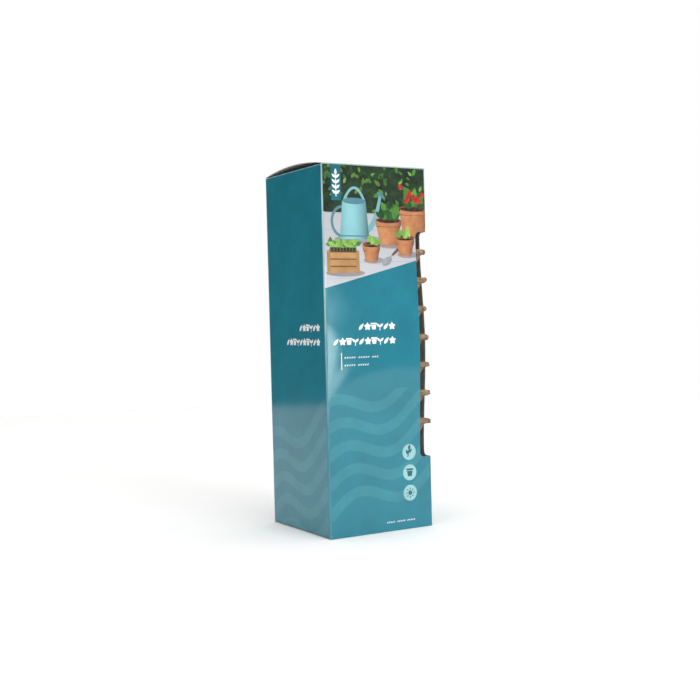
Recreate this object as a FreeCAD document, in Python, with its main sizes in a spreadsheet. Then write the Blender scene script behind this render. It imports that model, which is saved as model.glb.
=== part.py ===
import FreeCAD, Part
import math
import os
import re
import Sketcher

# Square moulded-fibre plant pots, nested in a stack, in a folding carton with an open corner window.
# Lengths are in millimetres and angles in degrees. The front panel faces -Y, the window is at the
# front-right corner and the stack stands along +Z. The origin is the middle of the carton's floor.

SIZES = [
    ("board", 0.4, "thickness of the carton board"),
    ("sidePlay", 3.2, "free room beside the rims, left to right"),
    ("endPlay", 3.2, "free room beside the rims, front to back"),
    ("headroom", 16.8, "top pot's rim up to the lid's creases"),
    ("foldRadius", 0.9, "outside radius of a vertical fold"),
    ("foldLeg", 1.5, "front and back panels' return round a fold"),
    ("creaseGap", 0.3, "free line between a flap and the board beside it"),
    ("windowBottom", 50.0, "floor to the window's lower edge"),
    ("windowTop", 45.0, "lid creases down to the window's upper edge"),
    ("windowFront", 9.2, "window's reach from the corner along the front"),
    ("windowSide", 8.2, "window's reach from the corner along the right side"),
    ("windowCorner", 3.0, "rounding of the window's inner corners"),
    ("frontBulge", 2.8, "how far the front's free edge is pushed out"),
    ("sideBulge", 3.1, "how far the right side's free edge is pushed out"),
    ("lidRise", 3.5, "height of the lid's arch over its creases"),
    ("lidInset", 0.3, "lid's side edges inside the carton's faces"),
    ("tuckLength", 15.0, "tuck flap, crease to edge"),
    ("tuckGap", 0.6, "free line between a tuck flap and its cover"),
    ("tuckInset", 1.6, "tuck flap's ends inside the side panels"),
    ("tuckCorner", 9.0, "rounding of a tuck flap's free corners"),
    ("tuckLean", 6.5, "angle by which a tuck flap leans inwards"),
    ("dustLength", 28.0, "dust flap, crease to edge"),
    ("dustSetback", 3.5, "ends of a dust flap's crease inside the carton's faces"),
    ("dustTaper", 32.0, "slant of a dust flap on the cover's crease side"),
    ("dustDraft", 8.0, "slant of a dust flap on the tuck side"),
    ("dustCorner", 3.0, "rounding of a dust flap's free corners"),
    ("glueWidth", 12.0, "width of the glued strip"),
    ("glueSetback", 5.0, "ends of the glued strip below and above the creases"),
    ("glueTaper", 15.0, "slant of the glued strip's ends"),
    ("potRim", 80.0, "rim, outside, square"),
    ("potHeight", 75.8, "outside height of a pot"),
    ("potPitch", 20.0, "step from pot to pot in the stack"),
    ("potWall", 2.2, "wall thickness, level"),
    ("potFloor", 2.6, "floor thickness"),
    ("potCorner", 4.5, "outside rounding of the upright wall corners"),
    ("nestGap", 0.55, "level gap between the walls of nested pots"),
    ("rimLip", 3.0, "how far the rim stands out from the wall"),
    ("rimHeight", 4.0, "height of the rim"),
    ("rimCorner", 1.0, "rounding of the rim's corners in plan"),
    ("rimEdge", 0.8, "rounding of the rim's upper and lower edges"),
    ("rimClear", 0.15, "rims to the front and right panels"),
    ("seatClear", 0.3, "lowest pot to the dust flaps under it"),
    ("drainHole", 10.0, "diameter of the middle drain hole"),
    ("drainSlot", 5.0, "diameter of the four corner drain holes"),
    ("drainSlotPlace", 15.0, "corner drain holes, from the pot's axis each way"),
    ("overrun", 1.0, "how far a cutting shape passes what it cuts"),
]
POT_COUNT = 9
BOW_STEPS = 10
CROWN_SHARE = 1.1

# The carton is made to the stack of pots that it holds
STACK_FOOT = "2 * board + creaseGap + seatClear"
CARTON_SIZES = [
    ("cartonWidth", "potRim + 2 * board + sidePlay", "outside, left to right"),
    ("cartonDepth", "potRim + 2 * board + endPlay", "outside, front to back"),
    ("cartonHeight", "%s + %d * potPitch + potHeight + headroom" % (STACK_FOOT, POT_COUNT - 1),
     "floor to the lid's creases"),
]
ALIASES = "|".join(name for name, value, note in SIZES + CARTON_SIZES)

# Formulas that several pieces use
TAPER = "(potWall + nestGap) / potPitch"
WALL_TOP = "cartonHeight - board - creaseGap"
SIDE_FOOT = "board + creaseGap"
COVER_END = "cartonDepth / 2 - board - creaseGap"
MOUTH_HALF = "(potRim / 2 - rimLip)"
BASE_HALF = "(potRim / 2 - rimLip - potHeight * %s)" % TAPER

doc = FreeCAD.newDocument("pot_pack")
sheet = doc.addObject("Spreadsheet::Sheet", "Sizes")
parts = []


def fill_sheet():
    rows = [(name, str(value), note) for name, value, note in SIZES]
    rows += [(name, "=" + rule, note) for name, rule, note in CARTON_SIZES]
    for row, (name, value, note) in enumerate(rows, start=1):
        sheet.set("A%d" % row, name)
        sheet.set("B%d" % row, value)
        sheet.set("C%d" % row, note)
        sheet.setAlias("B%d" % row, name)
    doc.recompute()


def formula(text):
    return re.sub(r"\b(%s)\b" % ALIASES, r"Sizes.\1", text)


def length(text):
    return float(sheet.evalExpression(formula(text)))


def bind(item, rules):
    for prop, text in rules.items():
        item.setExpression(prop, formula(text))


def keep(item, label):
    item.Label = label
    parts.append(item)
    return item


# Bodies drawn from outlines. Each corner of an outline is a pair of formulas.

def origin_plane(body, role):
    return [plane for plane in body.Origin.OriginFeatures if plane.Role == role][0]


def new_sketch(body, name, role, lift):
    sketch = body.newObject("Sketcher::SketchObject", name)
    sketch.AttachmentSupport = [(origin_plane(body, role), "")]
    sketch.MapMode = "FlatFace"
    sketch.setExpression("AttachmentOffset.Base.z", formula(lift))
    return sketch


def tie(sketch, index, end, across, up):
    for letter, rule in (("X", across), ("Y", up)):
        distance = Sketcher.Constraint("Distance" + letter, -1, 1, index, end, length(rule))
        place = sketch.addConstraint(distance)
        sketch.setExpression("Constraints[%d]" % place, formula(rule))


def outline(body, name, role, corners, lift="0"):
    sketch = new_sketch(body, name, role, lift)
    spots = [FreeCAD.Vector(length(across), length(up), 0) for across, up in corners]
    count = len(corners)
    for index in range(count):
        sketch.addGeometry(Part.LineSegment(spots[index], spots[(index + 1) % count]), False)
    for index in range(count):
        sketch.addConstraint(Sketcher.Constraint("Coincident", index, 2, (index + 1) % count, 1))
    for index, (across, up) in enumerate(corners):
        tie(sketch, index, 1, across, up)
    return sketch


def square(half):
    return [("-" + half, "-" + half), (half, "-" + half), (half, half), ("-" + half, half)]


def pad(body, sketch, thickness):
    feature = body.newObject("PartDesign::Pad", sketch.Name + "_pad")
    feature.Profile = sketch
    bind(feature, {"Length": thickness})
    doc.recompute()
    return feature


def frustum(body, kind, name, low_half, low, high_half, high):
    # square block that widens upwards, its axis turned from the wedge's own Y to Z
    wedge = body.newObject("PartDesign::" + kind, name)
    wedge.Placement.Rotation = FreeCAD.Rotation(FreeCAD.Vector(1, 0, 0), 90)
    rules = {"Ymin": low, "Ymax": high}
    for letter in "XZ":
        rules.update({letter + "min": "-" + low_half, letter + "max": low_half})
        rules.update({letter + "2min": "-" + high_half, letter + "2max": high_half})
    bind(wedge, rules)
    doc.recompute()
    return wedge


def fillet(body, base, chosen, radius):
    names = ["Edge%d" % (place + 1) for place, edge in enumerate(base.Shape.Edges) if chosen(edge)]
    feature = body.newObject("PartDesign::Fillet", base.Name + "_fillet")
    feature.Base = (base, names)
    bind(feature, {"Radius": radius})
    doc.recompute()
    return feature


def near(value, target):
    return abs(value - target) < Part.Precision.confusion() * 100


def place(item, x="0", y="0", z="0", turn=None):
    rules = {"Placement.Base.x": x, "Placement.Base.y": y, "Placement.Base.z": z}
    if turn:
        item.Placement.Rotation = FreeCAD.Rotation(FreeCAD.Vector(1, 0, 0), 1)
        rules["Placement.Rotation.Angle"] = turn
    bind(item, rules)


# Sleeve: four panels and the glued strip

def plain_box(label, x, y, z, long_x, long_y, long_z):
    box = doc.addObject("Part::Box", label + "_box")
    bind(box, {"Length": long_x, "Width": long_y, "Height": long_z})
    place(box, x, y, z)
    return keep(box, label)


def left_panel():
    flat = "cartonDepth - 2 * foldLeg"
    rise = WALL_TOP + " - (%s)" % SIDE_FOOT
    plain_box("left_panel", "-cartonWidth / 2", "foldLeg - cartonDepth / 2", SIDE_FOOT, "board", flat, rise)


def back_panel():
    body = doc.addObject("PartDesign::Body", "back_body")
    outer_x, outer_y = "cartonWidth / 2", "cartonDepth / 2"
    inner_x, inner_y = "(cartonWidth / 2 - board)", "(cartonDepth / 2 - board)"
    leg = "cartonDepth / 2 - foldLeg"
    corners = [("-" + outer_x, outer_y), ("-" + outer_x, leg), ("-" + inner_x, leg), ("-" + inner_x, inner_y),
               (inner_x, inner_y), (inner_x, leg), (outer_x, leg), (outer_x, outer_y)]
    sheet_of_board = pad(body, outline(body, "back_outline", "XY_Plane", corners), WALL_TOP)
    rounded = fillet(body, sheet_of_board, upright_at(outer_x, outer_y), "foldRadius")
    fillet(body, rounded, upright_at(inner_x, inner_y), "foldRadius - board")
    keep(body, "back_panel")


def upright(edge):
    return near(edge.BoundBox.XLength, 0) and near(edge.BoundBox.YLength, 0)


def upright_at(across, back):
    far_x, far_y = length(across), length(back)
    return lambda edge: upright(edge) and near(abs(edge.BoundBox.XMin), far_x) and near(edge.BoundBox.YMin, far_y)


def glue_flap():
    body = doc.addObject("PartDesign::Body", "glue_body")
    outer, inner = "cartonDepth / 2 - foldLeg", "cartonDepth / 2 - foldLeg - glueWidth"
    low, high = SIDE_FOOT + " + glueSetback", WALL_TOP + " - glueSetback"
    slant = " glueWidth * tan(glueTaper)"
    corners = [(outer, low), (outer, high), (inner, high + " -" + slant), (inner, low + " +" + slant)]
    pad(body, outline(body, "glue_outline", "YZ_Plane", corners), "board")
    place(body, x="board - cartonWidth / 2")
    keep(body, "glue_flap")


# A window panel is drawn in its own plane: along it from the far fold, out of it and up. The map turns
# that into the carton's frame, the front panel running left to right and the right panel back to front.

def front_map(along, out, up):
    return FreeCAD.Vector(along - length("cartonWidth") / 2, -length("cartonDepth") / 2 - out, up)


def right_map(along, out, up):
    return FreeCAD.Vector(length("cartonWidth") / 2 + out, length("cartonDepth") / 2 - along, up)


def notched_plate(to_frame, start, end, free, level, window, toward):
    # flat plate from level to the window's edge, then a strip that stops at the window's inner corner
    board, bend = length("board"), length("windowCorner")
    turn = window + toward * bend
    swing = bend * (1 - math.sqrt(0.5))
    corner = Part.Arc(to_frame(free + bend, 0, window), to_frame(free + swing, 0, window + toward * swing),
                      to_frame(free, 0, turn)).toShape()
    runs = [to_frame(free, 0, turn), to_frame(start, 0, turn), to_frame(start, 0, level),
            to_frame(end, 0, level), to_frame(end, 0, window), to_frame(free + bend, 0, window)]
    wire = Part.Wire([corner] + Part.makePolygon(runs).Edges)
    inward = to_frame(0, -board, 0) - to_frame(0, 0, 0)
    return Part.Face(wire).extrude(inward)


def bowed_wire(to_frame, start, free, bulge, up):
    board, middle = length("board"), (start + free) / 2
    rows = []
    for depth in (0, -board):
        curve = Part.BezierCurve()
        curve.setPoles([to_frame(start, depth, up), to_frame(middle, depth + CROWN_SHARE * bulge, up),
                        to_frame(free, depth + bulge, up)])
        rows.append(curve.toBSpline().toShape())
    outer, inner = rows
    ends = [Part.LineSegment(outer.Vertexes[side].Point, inner.Vertexes[side].Point).toShape() for side in (0, 1)]
    return Part.Wire([outer, ends[1], inner, ends[0]])


def bowed_plate(to_frame, start, free, bulge, low, high):
    # the free edge swells as the square of a sine between the window's inner corners
    wires = []
    for step in range(BOW_STEPS + 1):
        share = step / BOW_STEPS
        out = bulge * math.sin(math.pi * share) ** 2
        wires.append(bowed_wire(to_frame, start, free, out, low + (high - low) * share))
    return Part.makeLoft(wires, True, False)


def window_panel(to_frame, start, end, free, bulge, foot):
    bend = length("windowCorner")
    sill, head = length("windowBottom"), length("cartonHeight - windowTop")
    lower = notched_plate(to_frame, start, end, free, foot, sill, 1)
    upper = notched_plate(to_frame, start, end, free, length(WALL_TOP), head, -1)
    middle = bowed_plate(to_frame, start, free, bulge, sill + bend, head - bend)
    return [lower, middle, upper]


def fold(side, low, high):
    # quarter ring of board at a front corner, on the left (-1) or the right (1), and its short return
    outer, inner = length("foldRadius"), length("foldRadius - board")
    centre = FreeCAD.Vector(side * (length("cartonWidth / 2") - outer), outer - length("cartonDepth / 2"), low)
    first, last = (180, 270) if side < 0 else (270, 360)
    up = FreeCAD.Vector(0, 0, 1)
    solid = Part.makeCylinder(outer, high - low, centre, up, last - first)
    hollow = Part.makeCylinder(inner, high - low, centre, up, last - first)
    ring = solid.cut(hollow)
    ring.rotate(centre, up, first)
    board, leg = length("board"), length("foldLeg") - outer
    edge = length("cartonWidth / 2 - board") if side > 0 else -length("cartonWidth / 2")
    back = Part.makeBox(board, leg, high - low, FreeCAD.Vector(edge, centre.y, low))
    return ring.fuse(back)


def whole(pieces):
    solid = pieces[0].multiFuse(pieces[1:]).removeSplitter()
    return solid.Solids[0] if len(solid.Solids) == 1 else solid


def front_panel():
    radius, width = length("foldRadius"), length("cartonWidth")
    pieces = window_panel(front_map, radius, width - radius, width - length("windowFront"),
                          length("frontBulge"), 0)
    sill, head, top = length("windowBottom"), length("cartonHeight - windowTop"), length(WALL_TOP)
    pieces += [fold(-1, 0, top), fold(1, 0, sill), fold(1, head, top)]
    panel = doc.addObject("Part::Feature", "front_shape")
    panel.Shape = whole(pieces)
    keep(panel, "front_panel")


def right_panel():
    leg, depth = length("foldLeg"), length("cartonDepth")
    pieces = window_panel(right_map, leg, depth - leg, depth - length("windowSide"),
                          length("sideBulge"), length(SIDE_FOOT))
    panel = doc.addObject("Part::Feature", "right_shape")
    panel.Shape = whole(pieces)
    keep(panel, "right_panel")


# Lid and floor, with their tuck flaps and dust flaps

def lid_panel():
    # slice of a wide thin tube, level across the carton and arched from front to back
    span = "(cartonDepth - board - creaseGap)"
    radius = "((%s ^ 2 / 4 + lidRise ^ 2) / (2 * lidRise))" % span
    middle = "%s / 2 - cartonDepth / 2" % span
    tubes = []
    for name, bend in (("lid_outer", radius), ("lid_inner", radius + " - board")):
        tube = doc.addObject("Part::Cylinder", name)
        bind(tube, {"Radius": bend, "Height": "cartonWidth - 2 * lidInset"})
        tube.Placement.Rotation = FreeCAD.Rotation(FreeCAD.Vector(0, 1, 0), 90)
        place(tube, "lidInset - cartonWidth / 2", middle, "cartonHeight + lidRise - " + radius)
        tubes.append(tube)
    arch = doc.addObject("Part::Cut", "lid_arch")
    arch.Base, arch.Tool = tubes
    block = doc.addObject("Part::Box", "lid_block")
    bind(block, {"Length": "cartonWidth", "Width": span, "Height": "board + lidRise + 2 * overrun"})
    place(block, "-cartonWidth / 2", "-cartonDepth / 2", "cartonHeight - board - overrun")
    lid = doc.addObject("Part::Common", "lid_slice")
    lid.Base, lid.Tool = arch, block
    keep(lid, "lid_panel")


def bottom_panel():
    wide, deep = "cartonWidth / 2 - board - creaseGap", COVER_END
    plain_box("bottom_panel", "-(%s)" % wide, "-(%s)" % deep, "0", "2 * (%s)" % wide, "2 * (%s)" % deep, "board")


def tuck_flap(label, y, z, turn):
    # drawn hanging from its crease at the origin, outer face forward of its thickness
    body = doc.addObject("PartDesign::Body", label + "_body")
    half = "(cartonWidth / 2 - board - tuckInset)"
    top, tip = "-tuckGap", "-tuckLength"
    corners = [("-" + half, top), ("-" + half, tip), (half, tip), (half, top)]
    flap = pad(body, outline(body, label + "_outline", "XZ_Plane", corners), "board")
    low = length(tip)
    free_corner = lambda edge: near(edge.BoundBox.ZMax, low) and near(edge.BoundBox.XLength, 0)
    fillet(body, flap, free_corner, "tuckCorner")
    place(body, y=y, z=z, turn=turn)
    keep(body, label)


def dust_flap(label, side, cover, z):
    # side is -1 on the left panel and 1 on the right; cover is the side of the covering flap's crease
    body = doc.addObject("PartDesign::Body", label + "_body")
    x_sign = "-" if side > 0 else ""
    long_end, near_end = ("-", "") if cover < 0 else ("", "-")
    back_sign = "+" if cover < 0 else "-"
    draft_sign = "-" if cover < 0 else "+"
    reach = "(cartonDepth / 2 - dustSetback)"
    corners = [(x_sign + "creaseGap", long_end + reach),
               (x_sign + "dustLength", "%s%s %s dustLength * tan(dustTaper)" % (long_end, reach, back_sign)),
               (x_sign + "dustLength", "%s%s %s dustLength * tan(dustDraft)" % (near_end, reach, draft_sign)),
               (x_sign + "creaseGap", near_end + reach)]
    flap = pad(body, outline(body, label + "_outline", "XY_Plane", corners), "board")
    far = length("dustLength")
    free_corner = lambda edge: upright(edge) and near(abs(edge.BoundBox.XMin), far)
    fillet(body, flap, free_corner, "dustCorner")
    wall = "cartonWidth / 2 - board"
    place(body, x=wall if side > 0 else "-(%s)" % wall, z=z)
    keep(body, label)


# Pots: tapered walls in one piece with a floor and a rim that stands out

def pot(number):
    label = "pot_%d" % number
    body = doc.addObject("PartDesign::Body", label + "_body")
    walls = frustum(body, "AdditiveWedge", label + "_walls", BASE_HALF, "0", MOUTH_HALF, "potHeight")
    slanted = lambda edge: edge.BoundBox.ZLength > edge.BoundBox.XLength
    fillet(body, walls, slanted, "potCorner")
    add_rim(body, label)
    add_cavity(body, label)
    add_drains(body, label)
    sideways = "cartonWidth / 2 - board - rimClear - potRim / 2"
    forward = "potRim / 2 + board + rimClear - cartonDepth / 2"
    place(body, sideways, forward, "%s + %d * potPitch" % (STACK_FOOT, number - 1))
    keep(body, label)


def add_rim(body, label):
    under = "potHeight - rimHeight"
    rim = pad(body, outline(body, label + "_rim", "XY_Plane", square("potRim / 2"), under), "rimHeight")
    edge_of_rim = length("potRim / 2")
    corner = lambda edge: upright(edge) and near(abs(edge.BoundBox.XMin), edge_of_rim)
    rounded = fillet(body, rim, corner, "rimCorner")
    level, reach = length(under), length("potRim / 2 - rimLip / 2")
    rim_line = lambda edge: edge.BoundBox.ZMin >= level and near(edge.BoundBox.ZLength, 0) and outside(edge, reach)
    fillet(body, rounded, rim_line, "rimEdge")


def outside(edge, reach):
    box = edge.BoundBox
    return max(abs(box.XMin), abs(box.XMax), abs(box.YMin), abs(box.YMax)) > reach


def lowest(edge):
    return min(vertex.Z for vertex in edge.Vertexes)


def highest(edge):
    return max(vertex.Z for vertex in edge.Vertexes)


def add_cavity(body, label):
    inside = "(%s + potFloor * %s - potWall)" % (BASE_HALF, TAPER)
    above = "(%s + overrun * %s - potWall)" % (MOUTH_HALF, TAPER)
    top = "potHeight + overrun"
    cavity = frustum(body, "SubtractiveWedge", label + "_cavity", inside, "potFloor", above, top)
    low, high = length("potFloor"), length("potHeight")
    corner = lambda edge: near(lowest(edge), low) and near(highest(edge), high)
    fillet(body, cavity, corner, "potCorner - potWall")


def add_drains(body, label):
    sketch = new_sketch(body, label + "_drains", "XY_Plane", "0")
    spots = [("0", "0", "drainHole")]
    spots += [(x + "drainSlotPlace", y + "drainSlotPlace", "drainSlot") for x in ("-", "") for y in ("-", "")]
    for index, (across, up, wide) in enumerate(spots):
        centre = FreeCAD.Vector(length(across), length(up), 0)
        sketch.addGeometry(Part.Circle(centre, FreeCAD.Vector(0, 0, 1), length(wide) / 2), False)
        radius = sketch.addConstraint(Sketcher.Constraint("Radius", index, length(wide) / 2))
        sketch.setExpression("Constraints[%d]" % radius, formula(wide + " / 2"))
        tie(sketch, index, 3, across, up)
    holes = body.newObject("PartDesign::Pocket", label + "_holes")
    holes.Profile = sketch
    holes.Midplane = True
    bind(holes, {"Length": "2 * (potFloor + overrun)"})
    doc.recompute()


def check_and_write():
    for item in doc.Objects:
        if "Invalid" in item.State or "Error" in item.State:
            raise RuntimeError("failed: " + item.Name)
    for item in parts:
        if item.Shape.isNull() or not item.Shape.isValid() or len(item.Shape.Solids) != 1:
            raise RuntimeError("bad solid: " + item.Label)
    for item in parts:
        item.Shape.exportStep("parts/%s.step" % item.Label)
        print("%-24s %10.1f mm3" % (item.Label, item.Shape.Volume))


os.makedirs("parts", exist_ok=True)
fill_sheet()
front_panel()
right_panel()
back_panel()
left_panel()
glue_flap()
lid_panel()
bottom_panel()
tuck_flap("lid_tuck_flap", COVER_END, "cartonHeight - board", "-tuckLean")
tuck_flap("bottom_tuck_flap", "-(%s)" % COVER_END, "board", "180 - tuckLean")
LOW_FLAP = "board + creaseGap"
HIGH_FLAP = "cartonHeight - 2 * board - creaseGap"
dust_flap("top_dust_flap_left", -1, -1, HIGH_FLAP)
dust_flap("top_dust_flap_right", 1, -1, HIGH_FLAP)
dust_flap("bottom_dust_flap_left", -1, 1, LOW_FLAP)
dust_flap("bottom_dust_flap_right", 1, 1, LOW_FLAP)
for number in range(1, POT_COUNT + 1):
    pot(number)
doc.recompute()
check_and_write()
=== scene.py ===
import math
import random

import bpy
from mathutils import Matrix, Vector, noise
from mathutils.geometry import delaunay_2d_cdt


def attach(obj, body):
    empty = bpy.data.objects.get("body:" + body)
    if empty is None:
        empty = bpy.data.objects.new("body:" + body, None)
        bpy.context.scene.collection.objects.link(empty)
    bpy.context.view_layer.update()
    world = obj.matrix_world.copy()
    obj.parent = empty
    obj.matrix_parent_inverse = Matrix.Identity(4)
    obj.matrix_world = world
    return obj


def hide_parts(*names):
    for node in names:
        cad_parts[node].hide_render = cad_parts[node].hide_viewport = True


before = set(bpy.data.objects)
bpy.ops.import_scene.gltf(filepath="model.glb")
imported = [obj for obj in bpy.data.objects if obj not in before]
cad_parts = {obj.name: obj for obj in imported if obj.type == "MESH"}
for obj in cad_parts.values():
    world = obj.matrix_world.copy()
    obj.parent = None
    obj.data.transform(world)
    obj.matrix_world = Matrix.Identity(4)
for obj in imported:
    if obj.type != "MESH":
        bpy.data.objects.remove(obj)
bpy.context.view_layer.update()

mm = 0.001
print("frame loaded:", len(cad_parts), "nodes")

# The carton stands on z = 0 with its printed front towards -Y. Every length below is in millimetres.
carton = {
    "half": 42.0,        # outside, middle to face
    "height": 254.0,
    "board": 0.4,
    "fold": 0.9,         # outside radius of an upright fold
    "leg": 1.5,          # return of the front and back panels round a fold
    "foot": 0.7,         # lower edge of the side panels
    "wallTop": 253.3,
    "creaseRound": 0.36, "creaseShare": 0.9,
}
window = {
    "sill": 50.0, "head": 209.0, "corner": 3.0,
    "frontEdge": 32.8,   # x of the front's free edge
    "sideEdge": -33.8,   # y of the side's free edge
    "frontBow": 2.775, "sideBow": 3.07, "crown": 1.1,
}


# materials: noise is given as (scale, detail, roughness, stretch, twist) or the first of these,
# a ramp as (from, to, dark, light) or (from, to), and a bump as (strength, depth)

def linear(colour):
    # a colour of 0 to 255 as the linear values that a socket takes
    shares = [value / 255 for value in colour]
    return [c / 12.92 if c <= 0.04045 else ((c + 0.055) / 1.055) ** 2.4 for c in shares] + [1.0]


def newMaterial(name):
    material = bpy.data.materials.new(name)
    material.use_nodes = True
    tree = material.node_tree
    tree.nodes.clear()
    output = tree.nodes.new("ShaderNodeOutputMaterial")
    shader = tree.nodes.new("ShaderNodeBsdfPrincipled")
    tree.links.new(shader.outputs["BSDF"], output.inputs["Surface"])
    return material, tree, shader


def objectSpot(tree):
    return tree.nodes.new("ShaderNodeTexCoord").outputs["Object"]


def axesOf(tree):
    split = tree.nodes.new("ShaderNodeSeparateXYZ")
    tree.links.new(objectSpot(tree), split.inputs["Vector"])
    return split.outputs


def noiseNode(tree, scale, detail=4.0, rough=0.5, stretch=None, twist=0.0):
    texture = tree.nodes.new("ShaderNodeTexNoise")
    texture.inputs["Scale"].default_value = scale
    texture.inputs["Detail"].default_value = detail
    texture.inputs["Roughness"].default_value = rough
    texture.inputs["Distortion"].default_value = twist
    source = objectSpot(tree)
    if stretch:
        mapping = tree.nodes.new("ShaderNodeMapping")
        mapping.inputs["Scale"].default_value = stretch
        tree.links.new(source, mapping.inputs["Vector"])
        source = mapping.outputs["Vector"]
    tree.links.new(source, texture.inputs["Vector"])
    return texture.outputs["Fac"]


def rampNode(tree, source, stops):
    ramp = tree.nodes.new("ShaderNodeValToRGB")
    points = ramp.color_ramp.elements
    points[0].position, points[0].color = stops[0]
    points[1].position, points[1].color = stops[-1]
    tree.links.new(source, ramp.inputs["Fac"])
    return ramp.outputs["Color"]


def greyRamp(tree, source, low, high, dark=0.0, light=1.0):
    return rampNode(tree, source, [(low, (dark, dark, dark, 1)), (high, (light, light, light, 1))])


def blendNode(tree, amount, first, second, mode="MIX"):
    mix = tree.nodes.new("ShaderNodeMix")
    mix.data_type, mix.blend_type = "RGBA", mode
    for key, value in (("Factor", amount), ("A", first), ("B", second)):
        if hasattr(value, "links"):
            tree.links.new(value, mix.inputs[key])
        else:
            mix.inputs[key].default_value = value
    return mix.outputs["Result"]


def mathNode(tree, operation, *values):
    node = tree.nodes.new("ShaderNodeMath")
    node.operation = operation
    for value, socket in zip(values, node.inputs):
        tree.links.new(value, socket)
    return node.outputs[0]


def spanNode(tree, value, low, high, least=0.0, most=1.0):
    # least to most, as the value goes from low to high in millimetres
    span = tree.nodes.new("ShaderNodeMapRange")
    for key, number in (("From Min", low * mm), ("From Max", high * mm), ("To Min", least), ("To Max", most)):
        span.inputs[key].default_value = number
    tree.links.new(value, span.inputs["Value"])
    return span.outputs["Result"]


def facingNode(tree, output, way):
    # how far a direction of the texture coordinates points the given way
    facing = tree.nodes.new("ShaderNodeVectorMath")
    facing.operation = "DOT_PRODUCT"
    facing.inputs[1].default_value = way
    tree.links.new(tree.nodes.new("ShaderNodeTexCoord").outputs[output], facing.inputs[0])
    return facing.outputs["Value"]


def bumpNode(tree, height, strength, distance, under=None):
    bump = tree.nodes.new("ShaderNodeBump")
    bump.inputs["Strength"].default_value = strength
    bump.inputs["Distance"].default_value = distance * mm
    tree.links.new(height, bump.inputs["Height"])
    if under is not None:
        tree.links.new(under, bump.inputs["Normal"])
    return bump.outputs["Normal"]


laminate = {
    "rough": 0.6, "specular": 0.12, "coat": 0.94, "coatRough": 0.08,
    "wave": (9, 1.0), "waveBump": (0.25, 0.3), "peel": (900, 2.0), "peelBump": (0.5, 0.01),
}


def glossUp(tree, shader):
    # film over the print: a long slow wave of the board and the fine texture of the fibres below it
    wave = bumpNode(tree, noiseNode(tree, *laminate["wave"]), *laminate["waveBump"])
    peel = bumpNode(tree, noiseNode(tree, *laminate["peel"]), *laminate["peelBump"], wave)
    shader.inputs["Roughness"].default_value = laminate["rough"]
    shader.inputs["Specular IOR Level"].default_value = laminate["specular"]
    shader.inputs["Coat Weight"].default_value = laminate["coat"]
    shader.inputs["Coat Roughness"].default_value = laminate["coatRough"]
    tree.links.new(peel, shader.inputs["Normal"])
    tree.links.new(peel, shader.inputs["Coat Normal"])


wearAndHighlight = {
    "reach": 0.85,                # width of the pale line down a fold, rubbing and painted highlight
    "low": 75.0, "high": 175.0,   # between these heights the pale fold lines grow stronger, as painted highlight and rubbing
    "least": 0.12,
    "crease": (0.75, 0.35, 0.7),  # pale line below the side panels' top edge, rubbing and painted highlight: from, to, most
    # pale colour of the fold lines: rubbed ink and painted highlight
    "tone": (212, 234, 234),
    "rub": (240, 3.0, 0.7, (1, 1, 0.12)), "rubRamp": (0.32, 0.62, 0.35, 0.95),
}


def foldRubAndHighlight(tree):
    # share of the ink turned pale, partly rubbing and partly painted highlight: thin lines down the upright
    # folds and along the side panels' top edge
    axes = axesOf(tree)
    sizeX, sizeY = (mathNode(tree, "ABSOLUTE", axes[axis]) for axis in "XY")
    across = mathNode(tree, "ADD", sizeX, sizeY)
    corner = 2 * (carton["half"] - carton["fold"]) + carton["fold"] * math.sqrt(2)
    line = spanNode(tree, across, corner - wearAndHighlight["reach"], corner)
    # painted highlight: the fold lines are paler higher up
    rise = spanNode(tree, axes["Z"], wearAndHighlight["low"], wearAndHighlight["high"], wearAndHighlight["least"])
    start, end, most = wearAndHighlight["crease"]
    crease = spanNode(tree, axes["Z"], carton["wallTop"] - start, carton["wallTop"] - end, 0.0, most)
    return mathNode(tree, "MAXIMUM", mathNode(tree, "MULTIPLY", line, rise), crease)


printInk = {
    "print": (22, 118, 136), "band": (44, 129, 144), "tab": (20, 102, 114),
    "pale": (145, 194, 196), "white": (238, 243, 243), "dark": (26, 88, 102),
    "mottle": (55, 5.0, 0.6), "mottleRamp": (0.35, 0.7), "gain": 1.06, "lift": 3,
    "grain": (1600, 2.0), "grainRamp": (0.3, 0.75, 0.97, 1.0), "spots": (6.0, 0.65),
}


def mottledInk(tree, tone):
    mottle = greyRamp(tree, noiseNode(tree, *printInk["mottle"]), *printInk["mottleRamp"])
    pale = [min(255, value * printInk["gain"] + printInk["lift"]) for value in tone]
    return blendNode(tree, mottle, linear(tone), linear(pale))


def printedInk(name, tone, wornAndHighlit=False):
    # flat print, a little uneven; folded print turns pale along the folds, partly rubbed and partly a painted
    # highlight
    material, tree, shader = newMaterial(name)
    grain = greyRamp(tree, noiseNode(tree, *printInk["grain"]), *printInk["grainRamp"])
    colour = blendNode(tree, 1.0, mottledInk(tree, tone), grain, "MULTIPLY")
    if wornAndHighlit:
        rub = greyRamp(tree, noiseNode(tree, *wearAndHighlight["rub"]), *wearAndHighlight["rubRamp"])
        line = blendNode(tree, 1.0, rub, foldRubAndHighlight(tree), "MULTIPLY")
        colour = blendNode(tree, line, colour, linear(wearAndHighlight["tone"]))
    tree.links.new(colour, shader.inputs["Base Color"])
    glossUp(tree, shader)
    return material


def pictureInk(name, tone, tone2, grain, contrast):
    # two tones broken up by noise, shaded by the shape's own "light" attribute
    material, tree, shader = newMaterial(name)
    spots = greyRamp(tree, noiseNode(tree, grain, *printInk["spots"]), 0.5 - contrast, 0.5 + contrast)
    light = tree.nodes.new("ShaderNodeAttribute")
    light.attribute_name = "light"
    colour = blendNode(tree, spots, linear(tone), linear(tone2))
    colour = blendNode(tree, 1.0, colour, light.outputs["Color"], "MULTIPLY")
    tree.links.new(colour, shader.inputs["Base Color"])
    glossUp(tree, shader)
    return material


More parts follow.
